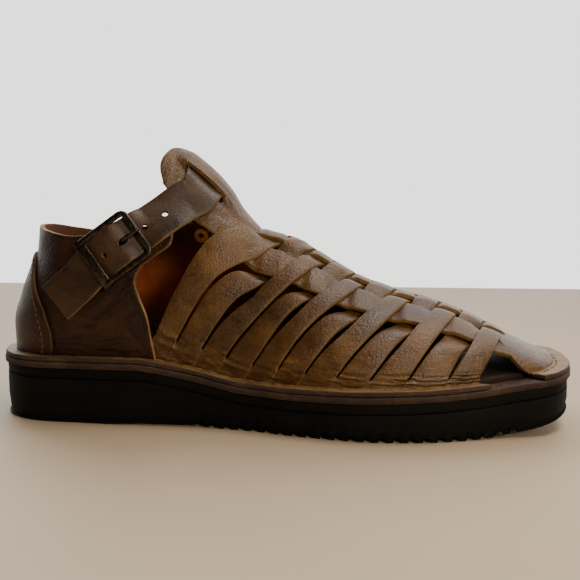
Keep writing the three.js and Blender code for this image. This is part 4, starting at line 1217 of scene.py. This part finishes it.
keep(buckleProng(), "buckle_metal", "buckle_prong")


def keeperPiece(name, side):
    # One side of the leather loop that holds the buckle to the quarter
    path = catmull([(-6, -0.6, 0), (-4.6, 0.9, 0), (-3, 3.4, 0), (-1.3, 4.75, 0), (1.3, 4.75, 0), (3, 3.4, 0),
                    (4.6, 0.9, 0), (6, -0.6, 0)], 30)[:, :2]
    centres = [atBuckle(d, side * 5.3, o) for d, o in path]
    return tube(name, centres, [buckleAcross] * 30, roundedBox(1.3, 7.4, 0.3), [looks["strap"]])


for name, side in (("keeper_upper", -1), ("keeper_lower", 1)):
    keep(keeperPiece(name, side), "upper_leather", "upper")


def rivetPiece():
    # Turned profile: a ring head inside and out, joined by the barrel
    inside, outside = -leather["wall"] - 0.25, rivet["seat"] + thick + 0.45
    profile = [(1.3, inside - 0.5), (2.2, inside - 1.1), (3.2, inside - 1.0), (4.0, inside - 0.45),
               (4.0, inside - 0.1), (2.0, inside), (2.0, outside), (4.0, outside + 0.1), (4.0, outside + 0.4),
               (3.2, outside + 0.9), (2.2, outside + 1.0), (1.3, outside + 0.4)]
    sideways = np.cross(rivetOut, [1, 0, 0])
    sideways /= np.linalg.norm(sideways)
    forward = np.cross(sideways, rivetOut)
    points, faces = [], []
    around = 32
    for k in range(around):
        a = 2 * math.pi * k / around
        spoke = forward * math.cos(a) + sideways * math.sin(a)
        points += [rivetCentre + spoke * r + rivetOut * o for r, o in profile]
    ring = len(profile)
    for k in range(around):
        for m in range(ring):
            a, b = k * ring + m, k * ring + (m + 1) % ring
            c, d = ((k + 1) % around) * ring + m, ((k + 1) % around) * ring + (m + 1) % ring
            faces.append((a, b, d, c))
    return meshOf("eyelet", points, faces, [looks["brass"]])


keep(rivetPiece(), "rivet_metal", "rivet")
print("buckle and eyelet made")


def stitchTree():
    # Stitches along a line: pitch, length and radius are its inputs
    tree = bpy.data.node_groups.new("stitch row", "GeometryNodeTree")
    tree.interface.new_socket("Geometry", in_out="INPUT", socket_type="NodeSocketGeometry")
    for name in ("Pitch", "Length", "Radius"):
        tree.interface.new_socket(name, in_out="INPUT", socket_type="NodeSocketFloat")
    tree.interface.new_socket("Thread", in_out="INPUT", socket_type="NodeSocketMaterial")
    tree.interface.new_socket("Geometry", in_out="OUTPUT", socket_type="NodeSocketGeometry")
    add, link = tree.nodes.new, tree.links.new
    given, out = add("NodeGroupInput"), add("NodeGroupOutput")
    curve, points = add("GeometryNodeMeshToCurve"), add("GeometryNodeResampleCurve")
    points.mode = "LENGTH"
    tangent, aim = add("GeometryNodeInputTangent"), add("FunctionNodeAlignEulerToVector")
    aim.axis = "X"
    ball, size = add("GeometryNodeMeshUVSphere"), add("ShaderNodeCombineXYZ")
    ball.inputs["Segments"].default_value = 8
    ball.inputs["Rings"].default_value = 6
    ball.inputs["Radius"].default_value = 1
    place, real = add("GeometryNodeInstanceOnPoints"), add("GeometryNodeRealizeInstances")
    colour = add("GeometryNodeSetMaterial")
    link(given.outputs["Geometry"], curve.inputs["Mesh"])
    link(curve.outputs["Curve"], points.inputs["Curve"])
    link(given.outputs["Pitch"], points.inputs["Length"])
    link(points.outputs["Curve"], place.inputs["Points"])
    link(ball.outputs["Mesh"], place.inputs["Instance"])
    link(tangent.outputs["Tangent"], aim.inputs["Vector"])
    link(aim.outputs["Rotation"], place.inputs["Rotation"])
    link(given.outputs["Length"], size.inputs["X"])
    link(given.outputs["Radius"], size.inputs["Y"])
    link(given.outputs["Radius"], size.inputs["Z"])
    link(size.outputs["Vector"], place.inputs["Scale"])
    link(place.outputs["Instances"], real.inputs["Geometry"])
    link(real.outputs["Geometry"], colour.inputs["Geometry"])
    link(given.outputs["Thread"], colour.inputs["Material"])
    link(colour.outputs["Geometry"], out.inputs["Geometry"])
    return tree


stitches = stitchTree()


def stitchRow(name, line, stitch, material, slot):
    mesh = bpy.data.meshes.new(name)
    line = (np.asarray(line, float) + [0, axisShift, 0]) / 1000
    mesh.from_pydata(line.tolist(), [(k, k + 1) for k in range(len(line) - 1)], [])
    piece = bpy.data.objects.new(name, mesh)
    bpy.context.scene.collection.objects.link(piece)
    modifier = piece.modifiers.new("stitches", "NODES")
    modifier.node_group = stitches
    names = {item.name: item.identifier for item in stitches.interface.items_tree if item.in_out == "INPUT"}
    modifier[names["Pitch"]] = stitch["pitch"] / 1000
    modifier[names["Length"]] = stitch["length"] / 2000
    modifier[names["Radius"]] = stitch["radius"] / 1000
    modifier[names["Thread"]] = material
    depsgraph = bpy.context.evaluated_depsgraph_get()
    plain = bpy.data.meshes.new_from_object(piece.evaluated_get(depsgraph))
    piece.modifiers.clear()
    piece.data = plain
    plain.polygons.foreach_set("use_smooth", [True] * len(plain.polygons))
    return keep(piece, slot)


weltStitch = {"pitch": 7.0, "length": 5.0, "radius": 0.55, "sunk": 0.3, "ends": 0.003}
patchStitch = {"pitch": 3.3, "length": 2.6, "radius": 0.34, "sunk": 0.05}


def flangeLine(start, end):
    inset = flange["outer"] + (flange["inner"] - flange["outer"]) * flange["stitchAt"]
    x, y = outlinePoint(np.linspace(start, end, 400), inset)
    return stack(x, y, seatHeight(x) + leather["wall"] - weltStitch["sunk"])


for name, start, end in (("main", -mainEnd, mainEnd), ("toe", toeStart, 1 - toeStart)):
    line = flangeLine(start + weltStitch["ends"], end - weltStitch["ends"])
    stitchRow(f"welt_stitches_{name}", line, weltStitch, looks["thread"], "upper_leather")

# Up one side of the patch, over its top and down the other
side, over = np.linspace(0.03, 0.93, 60), np.linspace(-0.84, 0.84, 50)
patchPath = [(-0.9, v) for v in side] + [(u, 0.945) for u in over] + [(0.9, v) for v in side[::-1]]
patchHeight = counter["gap"] + counter["thick"] - patchStitch["sunk"]
patchLine = [onQuarter(*counterPlace(u, v), patchHeight) for u, v in patchPath]
stitchRow("patch_stitches", patchLine, patchStitch, looks["thread"], "upper_leather")
print("stitches made")

floorMesh = bpy.data.meshes.new("floor")
# The floor stops behind the shoe, where the pale wall begins
floorMesh.from_pydata([(-3, -2, 0), (3, -2, 0), (3, 0.62, 0), (-3, 0.62, 0)], [], [(0, 1, 2, 3)])
floorMesh.materials.append(looks["floor"])
floor = bpy.data.objects.new("floor", floorMesh)
bpy.context.scene.collection.objects.link(floor)
